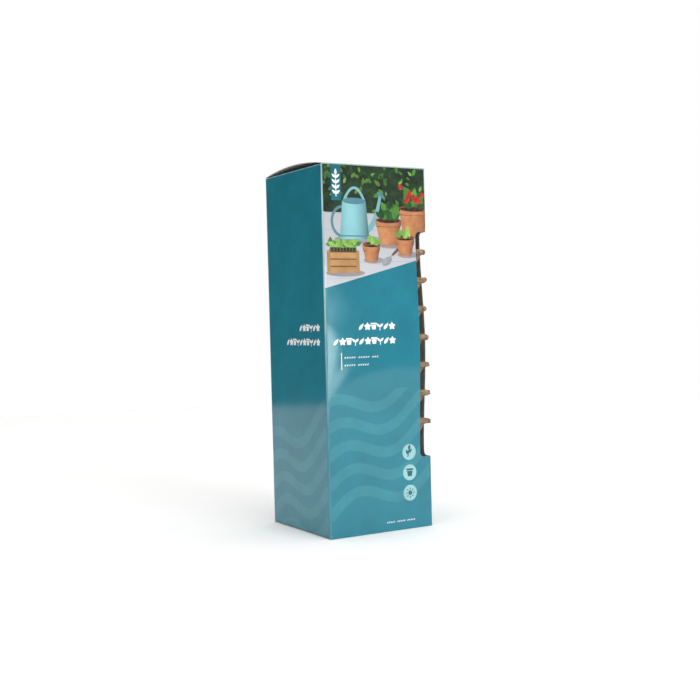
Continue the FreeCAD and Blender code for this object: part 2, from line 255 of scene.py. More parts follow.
plainBoard = {
    "tone": (188, 188, 183), "shade": 0.9, "speck": (132, 118, 100),
    "fibres": (420, 6.0, 0.7), "upright": (1, 1, 0.35), "level": (1, 0.35, 1), "fibreRamp": (0.36, 0.66),
    "specks": (1900, 1.0), "speckRamp": (0.70, 0.76),
    "roughRamp": (0.0, 1.0, 0.78, 0.92), "bump": (0.35, 0.03),
    "flapRamp": (0.0, 1.0, 0.86, 0.32), "flapBump": (0.3, 0.025), "printSide": (0.6, 0.7),
    "plies": (2600, 3.0, 0.6, (1, 1, 0.1)), "plyRamp": (0.3, 0.7), "plyBump": (0.5, 0.04),
    "plyTones": ((196, 190, 178), (238, 236, 228)), "plyRough": 0.88,
}


def boardFibres(tree, stretch):
    # fibres of unprinted board and their colour
    fibres = greyRamp(tree, noiseNode(tree, *plainBoard["fibres"], stretch), *plainBoard["fibreRamp"])
    dark = [value * plainBoard["shade"] for value in plainBoard["tone"]]
    return fibres, blendNode(tree, fibres, linear(dark), linear(plainBoard["tone"]))


def insideMaterial(name):
    # unprinted side of the board, with specks of recycled stock
    material, tree, shader = newMaterial(name)
    fibres, paper = boardFibres(tree, plainBoard["upright"])
    specks = greyRamp(tree, noiseNode(tree, *plainBoard["specks"]), *plainBoard["speckRamp"])
    tree.links.new(blendNode(tree, specks, paper, linear(plainBoard["speck"])), shader.inputs["Base Color"])
    tree.links.new(greyRamp(tree, fibres, *plainBoard["roughRamp"]), shader.inputs["Roughness"])
    tree.links.new(bumpNode(tree, fibres, *plainBoard["bump"]), shader.inputs["Normal"])
    return material


def edgeMaterial(name):
    # cut edge of the board: thin plies, a little grey
    material, tree, shader = newMaterial(name)
    plies = greyRamp(tree, noiseNode(tree, *plainBoard["plies"]), *plainBoard["plyRamp"])
    dark, pale = plainBoard["plyTones"]
    tree.links.new(blendNode(tree, plies, linear(dark), linear(pale)), shader.inputs["Base Color"])
    shader.inputs["Roughness"].default_value = plainBoard["plyRough"]
    tree.links.new(bumpNode(tree, plies, *plainBoard["plyBump"]), shader.inputs["Normal"])
    return material


def flapMaterial(name, tone, outward):
    # for a flap kept from the frame: ink on the side that faces outward, plain board elsewhere
    material, tree, shader = newMaterial(name)
    isPrint = greyRamp(tree, facingNode(tree, "Normal", outward), *plainBoard["printSide"])
    fibres, paper = boardFibres(tree, plainBoard["level"])
    colour = blendNode(tree, isPrint, paper, mottledInk(tree, tone))
    tree.links.new(colour, shader.inputs["Base Color"])
    tree.links.new(greyRamp(tree, isPrint, *plainBoard["flapRamp"]), shader.inputs["Roughness"])
    tree.links.new(bumpNode(tree, fibres, *plainBoard["flapBump"]), shader.inputs["Normal"])
    return material


fibre = {
    "pale": (172, 147, 121), "mid": (145, 116, 92), "dark": (96, 73, 56), "speck": (58, 42, 31),
    "felt": (260, 9.0, 0.72, None, 0.6), "feltRamp": (0.4, 0.58), "feltBump": (0.9, 0.5),
    "up": (520, 5.0, 0.6, (1, 1, 0.16), 1.2), "upRamp": (0.46, 0.64, 0.0, 0.85), "strandBump": (0.8, 0.3),
    "over": (520, 5.0, 0.6, (0.16, 0.16, 1), 1.2), "overRamp": (0.52, 0.70, 0.0, 0.7),
    "cloud": 38, "cloudStep": 1.46, "cloudDetail": (4.0, 0.6), "cloudRamp": (0.3, 0.7, 0.0, 0.35),
    "specks": (900, 2.0, 0.5, (1, 0.6, 0.5)), "speckRamp": (0.66, 0.72),
    "rough": 0.95, "specular": 0.25, "sheen": 0.15,
}


def fibreMaterial(name, number):
    # pressed wood fibre: matted strands both ways, dark bark specks, a few pale shives
    material, tree, shader = newMaterial(name)
    felt, strandsUp, strandsOver = (noiseNode(tree, *fibre[key]) for key in ("felt", "up", "over"))
    cloud = noiseNode(tree, fibre["cloud"] + fibre["cloudStep"] * number, *fibre["cloudDetail"])
    specks = noiseNode(tree, *fibre["specks"])
    colour = linear(fibre["dark"])
    for source, ramp, tone in ((felt, "feltRamp", "mid"), (strandsUp, "upRamp", "pale"),
                               (strandsOver, "overRamp", "pale"), (cloud, "cloudRamp", "mid"),
                               (specks, "speckRamp", "speck")):
        colour = blendNode(tree, greyRamp(tree, source, *fibre[ramp]), colour, linear(fibre[tone]))
    tree.links.new(colour, shader.inputs["Base Color"])
    shader.inputs["Roughness"].default_value = fibre["rough"]
    shader.inputs["Specular IOR Level"].default_value = fibre["specular"]
    shader.inputs["Sheen Weight"].default_value = fibre["sheen"]
    mat = bumpNode(tree, felt, *fibre["feltBump"])
    mat = bumpNode(tree, strandsUp, *fibre["strandBump"], mat)
    mat = bumpNode(tree, strandsOver, *fibre["strandBump"], mat)
    tree.links.new(mat, shader.inputs["Normal"])
    return material


printTeal = printedInk("tealPrint", printInk["print"], True)
bandTeal = printedInk("tealPrintLight", printInk["band"])
tabInk, paleInk = printedInk("tabInk", printInk["tab"]), printedInk("paleInk", printInk["pale"])
whiteInk, darkInk = printedInk("whiteInk", printInk["white"]), printedInk("darkInk", printInk["dark"])
insideBoard = insideMaterial("boardInside")
cutEdge = edgeMaterial("boardEdge")
print("board and print materials made")


# paths: a panel's outside line as lines and arcs, walked with its outside on the right

def walk(segments, u):
    # place and outward direction at u along the line
    for kind, start, size, data in segments:
        if u <= start + size:
            break
    along = u - start
    if kind == "line":
        (x, y), (dx, dy) = data
        return x + dx * along, y + dy * along, dy, -dx
    (cx, cy), radius, first = data
    angle = first + along / radius
    return cx + radius * math.cos(angle), cy + radius * math.sin(angle), math.cos(angle), math.sin(angle)


def chain(start, pieces):
    segments, u = [], start
    for kind, size, data in pieces:
        segments.append((kind, u, size, data))
        u += size
    return segments, u


def cornerPath():
    # a flat face with a rounded fold at both ends, as the front and back panels have
    half, bend, leg = carton["half"], carton["fold"], carton["leg"]
    flat, quarter, back = half - bend, bend * math.pi / 2, leg - bend
    pieces = [
        ("line", back, ((-half, -half + leg), (0, -1))),
        ("arc", quarter, ((-flat, -flat), bend, math.pi)),
        ("line", 2 * flat, ((-flat, -half), (1, 0))),
        ("arc", quarter, ((flat, -flat), bend, 1.5 * math.pi)),
        ("line", back, ((half, -flat), (0, 1))),
    ]
    return chain(-(flat + quarter + back), pieces)


def bowAt(z, bow):
    # how far a free edge at the window stands out at height z
    low, high = window["sill"] + window["corner"], window["head"] - window["corner"]
    share = min(1.0, max(0.0, (z - low) / (high - low)))
    return bow * math.sin(math.pi * share) ** 2


def swell(t, bow):
    # share t of the way from the fold to the free edge
    t = max(0.0, t)
    return bow * (2 * window["crown"] * t + (1 - 2 * window["crown"]) * t * t)


facePath, faceEnd = cornerPath()
half, board = carton["half"], carton["board"]
flatEnd, sideReach = half - carton["fold"], half - carton["leg"]
foot, top = carton["foot"], carton["wallTop"]


def onFront(u, z, depth):
    x, y, nx, ny = walk(facePath, u)
    share = (u + flatEnd) / (window["frontEdge"] + flatEnd)
    out = swell(share, bowAt(z, window["frontBow"])) if u > -flatEnd else 0
    return Vector((x - nx * depth, y - ny * depth - out, z)) * mm


def onBack(u, z, depth):
    x, y, nx, ny = walk(facePath, u)
    return Vector((-(x - nx * depth), -(y - ny * depth), z)) * mm


def creaseTurn(z, depth):
    # how far a side panel turns in at its creased upper and lower edges: its outside most, its inside not
    if depth < 0:
        return 0
    bend = carton["creaseRound"]
    near = max(0.0, (z - top + bend) / bend, (foot + bend - z) / bend)
    turn = bend * (1 - math.sqrt(max(0.0, 1 - min(1.0, near) ** 2))) * carton["creaseShare"]
    return turn * max(0.0, 1 - depth / board)


def onRight(u, z, depth):
    share = (sideReach - u) / (sideReach - window["sideEdge"])
    out = swell(share, bowAt(z, window["sideBow"]))
    return Vector((half - depth - creaseTurn(z, depth) + out, u, z)) * mm


def onLeft(u, z, depth):
    return Vector((-half + depth + creaseTurn(z, depth), -u, z)) * mm


lid = {
    "rise": 3.5, "inset": 0.3, "play": 0.3, "frontInset": 0.66, "roll": 0.65, "rollFoot": 253.36,
    "across": 42, "rollRows": 8,
    # pale colour along the lid's front crease: rubbed ink and painted highlight
    "rubbedAndHighlit": (186, 196, 196), "crease": (-41.1, -41.6),
    "rub": (240, 3.0, 0.7, (0.12, 1, 1)), "rubRamp": (0.32, 0.62, 0.45, 0.9),
}


def lidPath():
    # the arch from the crest to both ends, and the centre of the roll at its front end
    span = 2 * half - board - lid["play"]
    radius = (span * span / 4 + lid["rise"] ** 2) / (2 * lid["rise"])
    middleY, centreZ = span / 2 - half, carton["height"] + lid["rise"] - radius
    backAngle = math.asin(span / 2 / radius)
    frontAngle = math.asin((half - lid["frontInset"] + middleY) / radius)
    edge = (middleY - radius * math.sin(frontAngle), centreZ + radius * math.cos(frontAngle))
    centre = (edge[0] + lid["roll"] * math.sin(frontAngle), edge[1] - lid["roll"] * math.cos(frontAngle))
    return radius, middleY, centreZ, backAngle, frontAngle, centre


def onLid(u, v, depth):
    # u across, v from the crest towards the back; the front end turns down over the crease
    radius, middleY, centreZ, _, frontAngle, centre = lidPath()
    frontArc = radius * frontAngle
    if v >= -frontArc:
        angle = v / radius
        reach = radius - depth
        return Vector((u, middleY + reach * math.sin(angle), centreZ + reach * math.cos(angle))) * mm
    turn = (-v - frontArc) / lid["roll"]
    full = math.pi / 2 - frontAngle
    reach = lid["roll"] - depth
    if turn <= full:
        angle = frontAngle + turn
        return Vector((u, centre[0] - reach * math.sin(angle), centre[1] + reach * math.cos(angle))) * mm
    drop = (turn - full) * lid["roll"]
    return Vector((u, centre[0] - reach, centre[1] - drop)) * mm


# sheets of board and thin printed shapes, meshed from their outlines

meshing = {"weld": 1e-5, "sliver": 1e-7, "edgeGap": 0.3}   # edgeGap: share of a step kept free along outlines


def denser(loop, step):
    points = []
    for index, (x, y) in enumerate(loop):
        nx, ny = loop[(index + 1) % len(loop)]
        count = max(1, int(math.hypot(nx - x, ny - y) / step + 0.5))
        points += [(x + (nx - x) * k / count, y + (ny - y) * k / count) for k in range(count)]
    return points


def anticlockwise(loop):
    area = sum(loop[k - 1][0] * y - x * loop[k - 1][1] for k, (x, y) in enumerate(loop))
    return loop if area > 0 else loop[::-1]


def inLoop(x, y, loop):
    inside = False
    for index, (x0, y0) in enumerate(loop):
        x1, y1 = loop[index - 1]
        if (y0 > y) != (y1 > y) and x < (x1 - x0) * (y - y0) / (y1 - y0) + x0:
            inside = not inside
    return inside


def gridInside(loop, step, margin, rows=()):
    # grid of points inside the loop, with further rows where the sheet bends
    xs, ys = [p[0] for p in loop], [p[1] for p in loop]
    found = []
    columns = max(1, int((max(xs) - min(xs)) / step))
    lines = max(1, int((max(ys) - min(ys)) / step))
    heights = [min(ys) + (max(ys) - min(ys)) * (k + 0.5) / lines for k in range(lines)] + list(rows)
    for y in heights:
        for k in range(columns):
            x = min(xs) + (max(xs) - min(xs)) * (k + 0.5) / columns
            if inLoop(x, y, loop) and all(math.hypot(x - a, y - b) > margin for a, b in loop):
                found.append((x, y))
    return found


def turnOf(flat, cell):
    a, b, c = (flat[v] for v in cell[:3])
    return (b[0] - a[0]) * (c[1] - a[1]) - (b[1] - a[1]) * (c[0] - a[0])


def facingUp(flat, cells):
    # the cells turned anticlockwise, without those that have no area
    turns = [turnOf(flat, cell) for cell in cells]
    return [cell if turn > 0 else list(reversed(cell))
            for cell, turn in zip(cells, turns) if abs(turn) > meshing["sliver"]]


def netOf(outlines, inner):
    # triangles over the outlines and the points inside them, with the outlines as edges
    points, faces = [], []
    for outline in outlines:
        faces.append(list(range(len(points), len(points) + len(outline))))
        points += outline
    vertices, _, cells, source, _, origin = delaunay_2d_cdt(
        [Vector(p) for p in points + inner], [], faces, 1, meshing["weld"])
    return [(v.x, v.y) for v in vertices], cells, source, origin, faces


def triangles(loop, clip, step, rows=()):
    # triangles of the loop, or of what of it lies inside clip
    outlines = [denser(anticlockwise(outline), step) for outline in (loop, clip) if outline]
    grid = gridInside(outlines[0], step, meshing["edgeGap"] * step, rows)
    spots, cells, _, origin, _ = netOf(outlines, grid)
    cells = [cell for cell, parents in zip(cells, origin) if len(set(parents)) == len(outlines)]
    used = sorted({v for cell in cells for v in cell})
    order = {v: k for k, v in enumerate(used)}
    flat = [spots[v] for v in used]
    return flat, facingUp(flat, [[order[v] for v in cell] for cell in cells])


def solidSheet(flat, cells, place, upper, lower):
    # points and faces of a closed sheet between two depths; faces come as (corners, side)
    count = len(flat)
    points = [place(x, y, upper) for x, y in flat] + [place(x, y, lower) for x, y in flat]
    faces = [(cell, 0) for cell in cells]
    faces += [([v + count for v in reversed(cell)], 1) for cell in cells]
    edges = dict.fromkeys((v, cell[(k + 1) % len(cell)]) for cell in cells for k, v in enumerate(cell))
    faces += [([b, a, a + count, b + count], 2) for a, b in edges if (b, a) not in edges]
    return points, faces


def meshObject(name, points, faces, materials, smoothSides=(0, 1)):
    mesh = bpy.data.meshes.new(name)
    mesh.from_pydata(points, [], [corners for corners, side in faces])
    for material in materials:
        mesh.materials.append(material)
    sides = {}
    for polygon, (corners, side) in zip(mesh.polygons, faces):
        polygon.material_index = min(side, len(materials) - 1)
        polygon.use_smooth = side in smoothSides
        for key in polygon.edge_keys:
            sides.setdefault(key, set()).add(side)
    for edge in mesh.edges:
        if len(sides.get(edge.key, ())) > 1:
            edge.use_edge_sharp = True
    piece = bpy.data.objects.new(name, mesh)
    bpy.context.scene.collection.objects.link(piece)
    return piece


def arcPoints(cx, cy, radius, first, last, count=8):
    angles = [math.radians(first + (last - first) * k / count) for k in range(count + 1)]
    return [(cx + radius * math.cos(a), cy + radius * math.sin(a)) for a in angles]


# the sleeve's four panels

sleeve = {
    "step": 2.2,
    "bed": 0.05,          # depth of the panels' printed side, which leaves room for the ink
    "foldSteps": (0.0, 0.3, 0.6, 0.9, 1.2), "foldStretch": 1.17, "foldGap": 0.6, "cornerGap": 0.02,
    "creaseSteps": (0.08, 0.2, 0.36),
}
foldEnds = [flatEnd + sleeve["foldStretch"] * shift for shift in sleeve["foldSteps"]]
foldMarks = [[-end for end in foldEnds], foldEnds]


def boardPiece(name, node, body, sheet, place, printed=printTeal, bed=sleeve["bed"]):
    points, faces = solidSheet(*sheet, place, bed, board)
    piece = meshObject(name, points, faces, [printed, insideBoard, cutEdge])
    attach(piece, body)
    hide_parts(node)


def notched(end, free, low):
    # outline of a window panel whose window side is on the right
    sill, head, bend = window["sill"], window["head"], window["corner"]
    loop = [(-end, low), (end, low), (end, sill)]
    loop += arcPoints(free + bend, sill + bend, bend, 270, 180)
    loop += arcPoints(free + bend, head - bend, bend, 180, 90)
    return loop + [(end, head), (end, top), (-end, top)]


def foldColumns(loop):
    # extra points on the level edges so that the folds are round
    extra = []
    for index, (x, y) in enumerate(loop):
        nx = loop[(index + 1) % len(loop)][0]
        low, high = min(x, nx) + sleeve["cornerGap"], max(x, nx) - sleeve["cornerGap"]
        extra.append((x, y))
        for marks in foldMarks:
            extra += [(m, y) for m in sorted(marks, reverse=nx < x) if low < m < high]
    return extra


def foldedSheet(loop):
    # a panel with its two folds, which have columns of points of their own
    outline = denser(foldColumns(loop), sleeve["step"])
    rows = int(top / sleeve["step"])
    columns = [(m, top * k / rows) for m in foldMarks[0] + foldMarks[1] for k in range(1, rows)]
    inner = gridInside(outline, sleeve["step"], meshing["edgeGap"] * sleeve["step"])
    inner = [(x, z) for x, z in inner if abs(x) < flatEnd - sleeve["foldGap"]]
    inner += [(x, z) for x, z in columns if inLoop(x, z, outline)]
    flat, cells, _, _, _ = netOf([outline], inner)
    return flat, facingUp(flat, cells)


creaseRows = [foot + k for k in sleeve["creaseSteps"]] + [top - k for k in reversed(sleeve["creaseSteps"])]
frontLoop = notched(faceEnd, window["frontEdge"], 0)
backLoop = [(-faceEnd, 0), (faceEnd, 0), (faceEnd, top), (-faceEnd, top)]
rightLoop = [(-u, z) for u, z in reversed(notched(sideReach, -window["sideEdge"], foot))]
leftLoop = [(-sideReach, foot), (sideReach, foot), (sideReach, top), (-sideReach, top)]
boardPiece("frontPanel", "front_panel", "carton", foldedSheet(frontLoop), onFront)
boardPiece("backPanel", "back_panel", "carton", foldedSheet(backLoop), onBack)
rightSheet, leftSheet = (triangles(loop, None, sleeve["step"], creaseRows) for loop in (rightLoop, leftLoop))
boardPiece("rightPanel", "right_panel", "carton", rightSheet, onRight)
boardPiece("leftPanel", "left_panel", "carton", leftSheet, onLeft)
print("sleeve panels made")


# lid, flaps and floor

def lidPrint():
    # print made pale along the crease at the front, partly rubbed and partly a painted highlight
    material, tree, shader = newMaterial("lidPrint")
    crease = spanNode(tree, axesOf(tree)["Y"], *lid["crease"])
    rub = greyRamp(tree, noiseNode(tree, *lid["rub"]), *lid["rubRamp"])
    line = blendNode(tree, 1.0, rub, crease, "MULTIPLY")
    colour = blendNode(tree, line, mottledInk(tree, printInk["print"]), linear(lid["rubbedAndHighlit"]))
    tree.links.new(colour, shader.inputs["Base Color"])
    glossUp(tree, shader)
    return material


def lidSheet():
    # rows of points from the roll's foot over the arch to the back edge
    radius, _, _, backAngle, frontAngle, centre = lidPath()
    frontArc = radius * frontAngle
    rolled = lid["roll"] * (math.pi / 2 - frontAngle) + centre[1] - lid["rollFoot"]
    wide, count, turns = half - lid["inset"], lid["across"], lid["rollRows"]
    stops = [-frontArc - rolled + rolled * k / turns for k in range(turns)] + [-frontArc]
    stops += [-frontArc + (frontArc + radius * backAngle) * k / count for k in range(1, count + 1)]
    flat = [(-wide + 2 * wide * k / count, v) for v in stops for k in range(count + 1)]
    starts = [row * (count + 1) + column for row in range(len(stops) - 1) for column in range(count)]
    return flat, [[a, a + 1, a + count + 2, a + count + 1] for a in starts]


boardPiece("lidPanel", "lid_panel", "lid", lidSheet(), onLid, lidPrint(), 0.0)

# flaps and floor keep their frame shapes; each is printed on the side that faces the way given here
flapSides = {
    "glue_flap": (-1, 0, 0), "bottom_panel": (0, 0, -1),
    "lid_tuck_flap": (0, 1, 0), "bottom_tuck_flap": (0, -1, 0),
    "top_dust_flap_left": (0, 0, 1), "top_dust_flap_right": (0, 0, 1),
    "bottom_dust_flap_left": (0, 0, -1), "bottom_dust_flap_right": (0, 0, -1),
}
for node, outward in flapSides.items():
    tone = plainBoard["tone"] if node == "glue_flap" else printInk["print"]
    finish = flapMaterial(node + "Board", tone, outward)
    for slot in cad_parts[node].material_slots:
        slot.link = "OBJECT"
        slot.material = finish
print("lid and flaps made")


# pots

pot = {
    "count": 9, "axis": (1.45, -1.45), "foot": 1.4, "pitch": 20.0,
    "rim": 40.0, "mouth": 37.0, "base": 26.5775, "height": 75.8, "wall": 2.2, "floor": 2.6, "corner": 4.5,
    "rimTall": 4.0, "rimCorner": 0.6, "rimBlend": 3.0,
    "flare": 2.3, "flareTall": 14.5, "flareCorner": 0.7, "flareEdge": 0.3,
    "drain": 5.0, "cornerDrain": 2.5, "cornerPlace": 15.0,
    "wallRows": 26, "sidePoints": 44, "cornerPoints": 6,
    "drainPoints": 28, "floorStep": 2.6, "floorGaps": (1.2, 0.8),
    # rounded edges, as inwards and up or down from a wall's foot or end, and where the walls stop short
    "sole": ((0.9, 0.0), (0.35, 0.25)), "soleTall": 0.9, "underRim": 0.2,
    "mouthEdge": ((-0.35, 0.12, 3.0, 1), (0.0, 0.5, 2.6, 0.6)), "mouthTall": 1.2,
    "floorEdge": ((0.3, 0.3), (0.9, 0.0)), "floorTall": 0.9, "floorCorner": 2.3,
    # the rim's section, as inwards from its end and up from its foot
    "lip": ((1.5, 0.0), (0.7, 0.12), (0.2, 0.5), (0.0, 1.1), (0.0, 2.0), (0.0, 2.9), (0.2, 3.45),
            (0.65, 3.85), (1.4, 4.0), (2.6, 4.0), (3.8, 4.0)),
    "lipSink": 0.8, "lipLift": 0.3, "lipTurn": 1.0,
}
uneven = {
    "shift": (3.7, 1.9, 0.7), "scales": (0.09, 0.45, 1.3), "sink": (0.18, 0.14, 0.08), "sag": (0.35, 0.22),
    "ripple": 0.12, "rippleScale": 0.3,
    # the rims' corners at the window, from the lowest pot to the top one: drawn out, bent down
    "pull": (0.95, 0.95, 0.95, 0.95, 0.1, 0.6, 0.1, 0, 0), "droop": (0.2, 0, -0.3, 0.9, 0.1, 0, 0.2, 0, 0),
    "pullReach": 5.0, "pullGap": 0.05, "fray": 0.8, "frayScales": (0.8, 0.6),
}


def squareRing(reach, radius):
    # rounded square as (x, y, outward x, outward y), anticlockwise
    ring = []
    flat = reach - radius
    for quarter in range(4):
        turn = Matrix.Rotation(quarter * math.pi / 2, 2)
        way = turn @ Vector((1, 0))
        for k in range(pot["sidePoints"]):
            spot = turn @ Vector((reach, -flat + 2 * flat * k / pot["sidePoints"]))
            ring.append((spot.x, spot.y, way.x, way.y))
        for k in range(pot["cornerPoints"]):
            angle = math.pi / 2 * k / pot["cornerPoints"]
            way = turn @ Vector((math.cos(angle), math.sin(angle)))
            spot = turn @ Vector((flat, flat)) + way * radius
            ring.append((spot.x, spot.y, way.x, way.y))
    return ring


def wallAt(z):
    return pot["base"] + (pot["mouth"] - pot["base"]) * z / pot["height"]


def potProfile():
    # (reach, z, corner radius, sink share, sag share), up the outside, over the rim and down the inside
    height, wall, corner, rim, rows = (pot[key] for key in ("height", "wall", "corner", "rim", "wallRows"))
    under, blend = height - pot["rimTall"], pot["rimBlend"]
    profile = [(pot["base"] - inwards, z, corner, 0, 0) for inwards, z in pot["sole"]]
    for k in range(rows + 1):
        z = pot["soleTall"] + (under - pot["soleTall"] - pot["underRim"]) * k / rows
        flare = pot["flare"] * max(0.0, 1 - (under - z) / pot["flareTall"]) ** 2
        profile.append((wallAt(z) + flare, z, corner - pot["flareCorner"] * flare, 1, 0))
    lip = [(wallAt(under) + pot["flare"] + pot["flareEdge"], under)]
    lip += [(rim - inwards, under + up) for inwards, up in pot["lip"]]
    for reach, z in lip:
        share = min(1.0, max(0.0, (reach - rim + blend) / blend))
        lift = pot["lipLift"] if z < under + pot["lipTurn"] else 1
        profile.append((reach, z, pot["rimCorner"] + blend * (1 - share), pot["lipSink"], lift))
    for inwards, down, radius, lift in pot["mouthEdge"]:
        profile.append((wallAt(height) - wall - inwards, height - down, radius, 0, lift))
    high, low = height - pot["mouthTall"], pot["floor"] + pot["floorTall"]
    for k in range(rows + 1):
        z = high - (high - low) * k / rows
        profile.append((wallAt(z) - wall, z, corner - wall, -1, 0))
    for inwards, up in pot["floorEdge"]:
        profile.append((wallAt(pot["floor"]) - wall - inwards, pot["floor"] + up, pot["floorCorner"], 0, 0))
    return profile


def roughen(point, way, sink, sag, number):
    # pressed fibre: walls sink and edges sag unevenly; an inner wall's sink below 0 moves it outwards
    shift = Vector([number * step for step in uneven["shift"]])
    broad, fine, grit = (0.5 + 0.5 * noise.noise(point * scale + shift) for scale in uneven["scales"])
    inward = sink * sum(share * value for share, value in zip(uneven["sink"], (broad, fine, grit)))
    down = sag * (uneven["sag"][0] * broad * broad + uneven["sag"][1] * fine)
    near = max(0.0, 1 - math.hypot(point.x - pot["rim"], point.y + pot["rim"]) / uneven["pullReach"])
    if near > 0 and point.z > pot["height"] - pot["rimTall"] - uneven["pullGap"]:
        pull, droop = uneven["pull"][number - 1], uneven["droop"][number - 1]
        outScale, downScale = uneven["frayScales"]
        out = (pull + uneven["fray"] * pull * noise.noise(point * outScale + shift)) * near
        down += (droop + uneven["fray"] * noise.noise(point * downScale - shift)) * near
        return point + Vector((out, -out, -down)) - way * inward * (1 - near)
    return point - way * inward - Vector((0, 0, down))


def floorNet(ring):
    # floor with its five drain holes, as triangles that share the ring's points
    far, small = pot["cornerPlace"], pot["cornerDrain"]
    drains = [(0, 0, pot["drain"])] + [(sx * far, sy * far, small) for sx in (-1, 1) for sy in (-1, 1)]
    outer = [(x, y) for x, y, _, _ in ring]
    edgeGap, drainGap = pot["floorGaps"]
    grid = [(x, y) for x, y in gridInside(outer, pot["floorStep"], edgeGap)
            if all(math.hypot(x - cx, y - cy) > radius + drainGap for cx, cy, radius in drains)]
    loops = [arcPoints(cx, cy, radius, 0, 360, pot["drainPoints"])[:-1] for cx, cy, radius in drains]
    flat, cells, source, origin, faces = netOf([outer] + loops, grid)
    cells = facingUp(flat, [cell for cell, parents in zip(cells, origin) if list(parents) == [0]])
    placed = {given: index for index, inputs in enumerate(source) for given in inputs}
    return flat, cells, placed, faces[1:]


def potFloor(ring, start, level, way, number, points, faces):
    # adds the floor's underside (way -1) or inside (way 1) to a pot and gives the corners of its holes
    flat, cells, placed, holes = floorNet(ring)
    known = {placed[k]: start + k for k in range(len(ring))}
    scale = uneven["rippleScale"]
    for index, (x, y) in enumerate(flat):
        if index not in known:
            known[index] = len(points)
            wave = noise.noise(Vector((x * scale, y * scale, level + number)))
            points.append(Vector((x, y, level - way * uneven["ripple"] * (0.5 + 0.5 * wave))))
    for cell in cells:
        corners = [known[v] for v in cell]
        faces.append((corners[::way], 0))
    return [[known[placed[k]] for k in hole] for hole in holes]


def makePot(number):
    profile = potProfile()
    rings = [squareRing(reach, radius) for reach, z, radius, sink, sag in profile]
    count, points, faces = len(rings[0]), [], []
    for (reach, z, radius, sink, sag), ring in zip(profile, rings):
        for x, y, wx, wy in ring:
            points.append(roughen(Vector((x, y, z)), Vector((wx, wy, 0)), sink, sag, number))
    for row in range(len(rings) - 1):
        for k in range(count):
            a, b = row * count + k, row * count + (k + 1) % count
            faces.append(([a, b, b + count, a + count], 0))
    lows = potFloor(rings[0], 0, 0.0, -1, number, points, faces)
    highs = potFloor(rings[-1], (len(rings) - 1) * count, pot["floor"], 1, number, points, faces)
    for low, high in zip(lows, highs):
        for k in range(len(low)):
            n = (k + 1) % len(low)
            faces.append(([low[n], low[k], high[k], high[n]], 0))
    shift = Vector((*pot["axis"], pot["foot"] + (number - 1) * pot["pitch"]))
    piece = meshObject("fibrePot%d" % number, [(p + shift) * mm for p in points], faces,
                       [fibreMaterial("fibre%d" % number, number)], (0,))
    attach(piece, "pot_%d" % number)
    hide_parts("pot_%d" % number)


for number in range(1, pot["count"] + 1):
    makePot(number)
print("pots made")


# print: thin shapes of ink on the panels

inkBed = {"lift": 0.01, "step": 0.0006, "under": 0.004}


def inkPiece(name, shapes, place, materials, clip, step):
    # shapes are (loop, ink index, layer, light rule); each one lies a little higher than those below it
    upper, lower = sleeve["bed"] - inkBed["lift"], sleeve["bed"] - inkBed["under"]
    points, faces, lights = [], [], []
    for rank, (loop, ink, layer, light) in enumerate(sorted(shapes, key=lambda shape: shape[2])):
        flat, cells = triangles(loop, clip, step)
        got, made = solidSheet(flat, cells, place, upper - inkBed["step"] * rank, lower)
        faces += [([v + len(points) for v in corners], ink) for corners, side in made]
        points += got
        lights += [light(x, z) for x, z in flat] * 2
    piece = meshObject(name, points, faces, materials, ())
    values = piece.data.color_attributes.new("light", "FLOAT_COLOR", "POINT")
    for index, value in enumerate(lights):
        values.data[index].color = (value, value, value, 1)
    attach(piece, "carton")


bodyLight = {"most": 1.08, "aside": 0.25}


def shaded(value):
    return lambda x, z: value


def roundLight(cx, reach, gain):
    # light on a round body: bright a little left of its middle, dark at its edges
    return lambda x, z: bodyLight["most"] - gain * ((x - cx) / reach + bodyLight["aside"]) ** 2


def fadingLight(value, x0, fall):
    return lambda x, z: value - fall * (x - x0)


def ellipse(cx, cz, rx, rz, count=28, tilt=0.0):
    c, s = math.cos(math.radians(tilt)), math.sin(math.radians(tilt))
    loop = []
    for k in range(count):
        a = 2 * math.pi * k / count
        x, z = rx * math.cos(a), rz * math.sin(a)
        loop.append((cx + x * c - z * s, cz + x * s + z * c))
    return loop


def box(x0, x1, z0, z1, lean=0.0):
    return [(x0 + lean, z0), (x1 - lean, z0), (x1, z1), (x0, z1)]


def leafLoop(x, z, size, wide, angle):
    # pointed leaf that starts at (x, z)
    c, s = math.cos(math.radians(angle)), math.sin(math.radians(angle))
    side = [(size * t, wide * math.sin(math.pi * t ** 0.8)) for t in (0.08, 0.2, 0.35, 0.5, 0.65, 0.8, 0.92)]
    outline = [(0, 0)] + [(a, -b) for a, b in side] + [(size, 0)] + [(a, b) for a, b in reversed(side)]
    return [(x + a * c - b * s, z + a * s + b * c) for a, b in outline]


def stroke(points, wide, end=None):
    # band along a line of points, from width wide to width end
    end = wide if end is None else end
    left, right = [], []
    for index, (x, z) in enumerate(points):
        ax, az = points[max(0, index - 1)]
        bx, bz = points[min(len(points) - 1, index + 1)]
        size = math.hypot(bx - ax, bz - az) or 1
        reach = (wide + (end - wide) * index / (len(points) - 1)) / 2
        nx, nz = -(bz - az) / size * reach, (bx - ax) / size * reach
        left.append((x + nx, z + nz))
        right.append((x - nx, z - nz))
    return right + left[::-1]


def bent(p0, p1, p2, count=14):
    spots = []
    for k in range(count + 1):
        t = k / count
        spots.append(tuple((1 - t) ** 2 * a + 2 * t * (1 - t) * b + t * t * c for a, b, c in zip(p0, p1, p2)))
    return spots


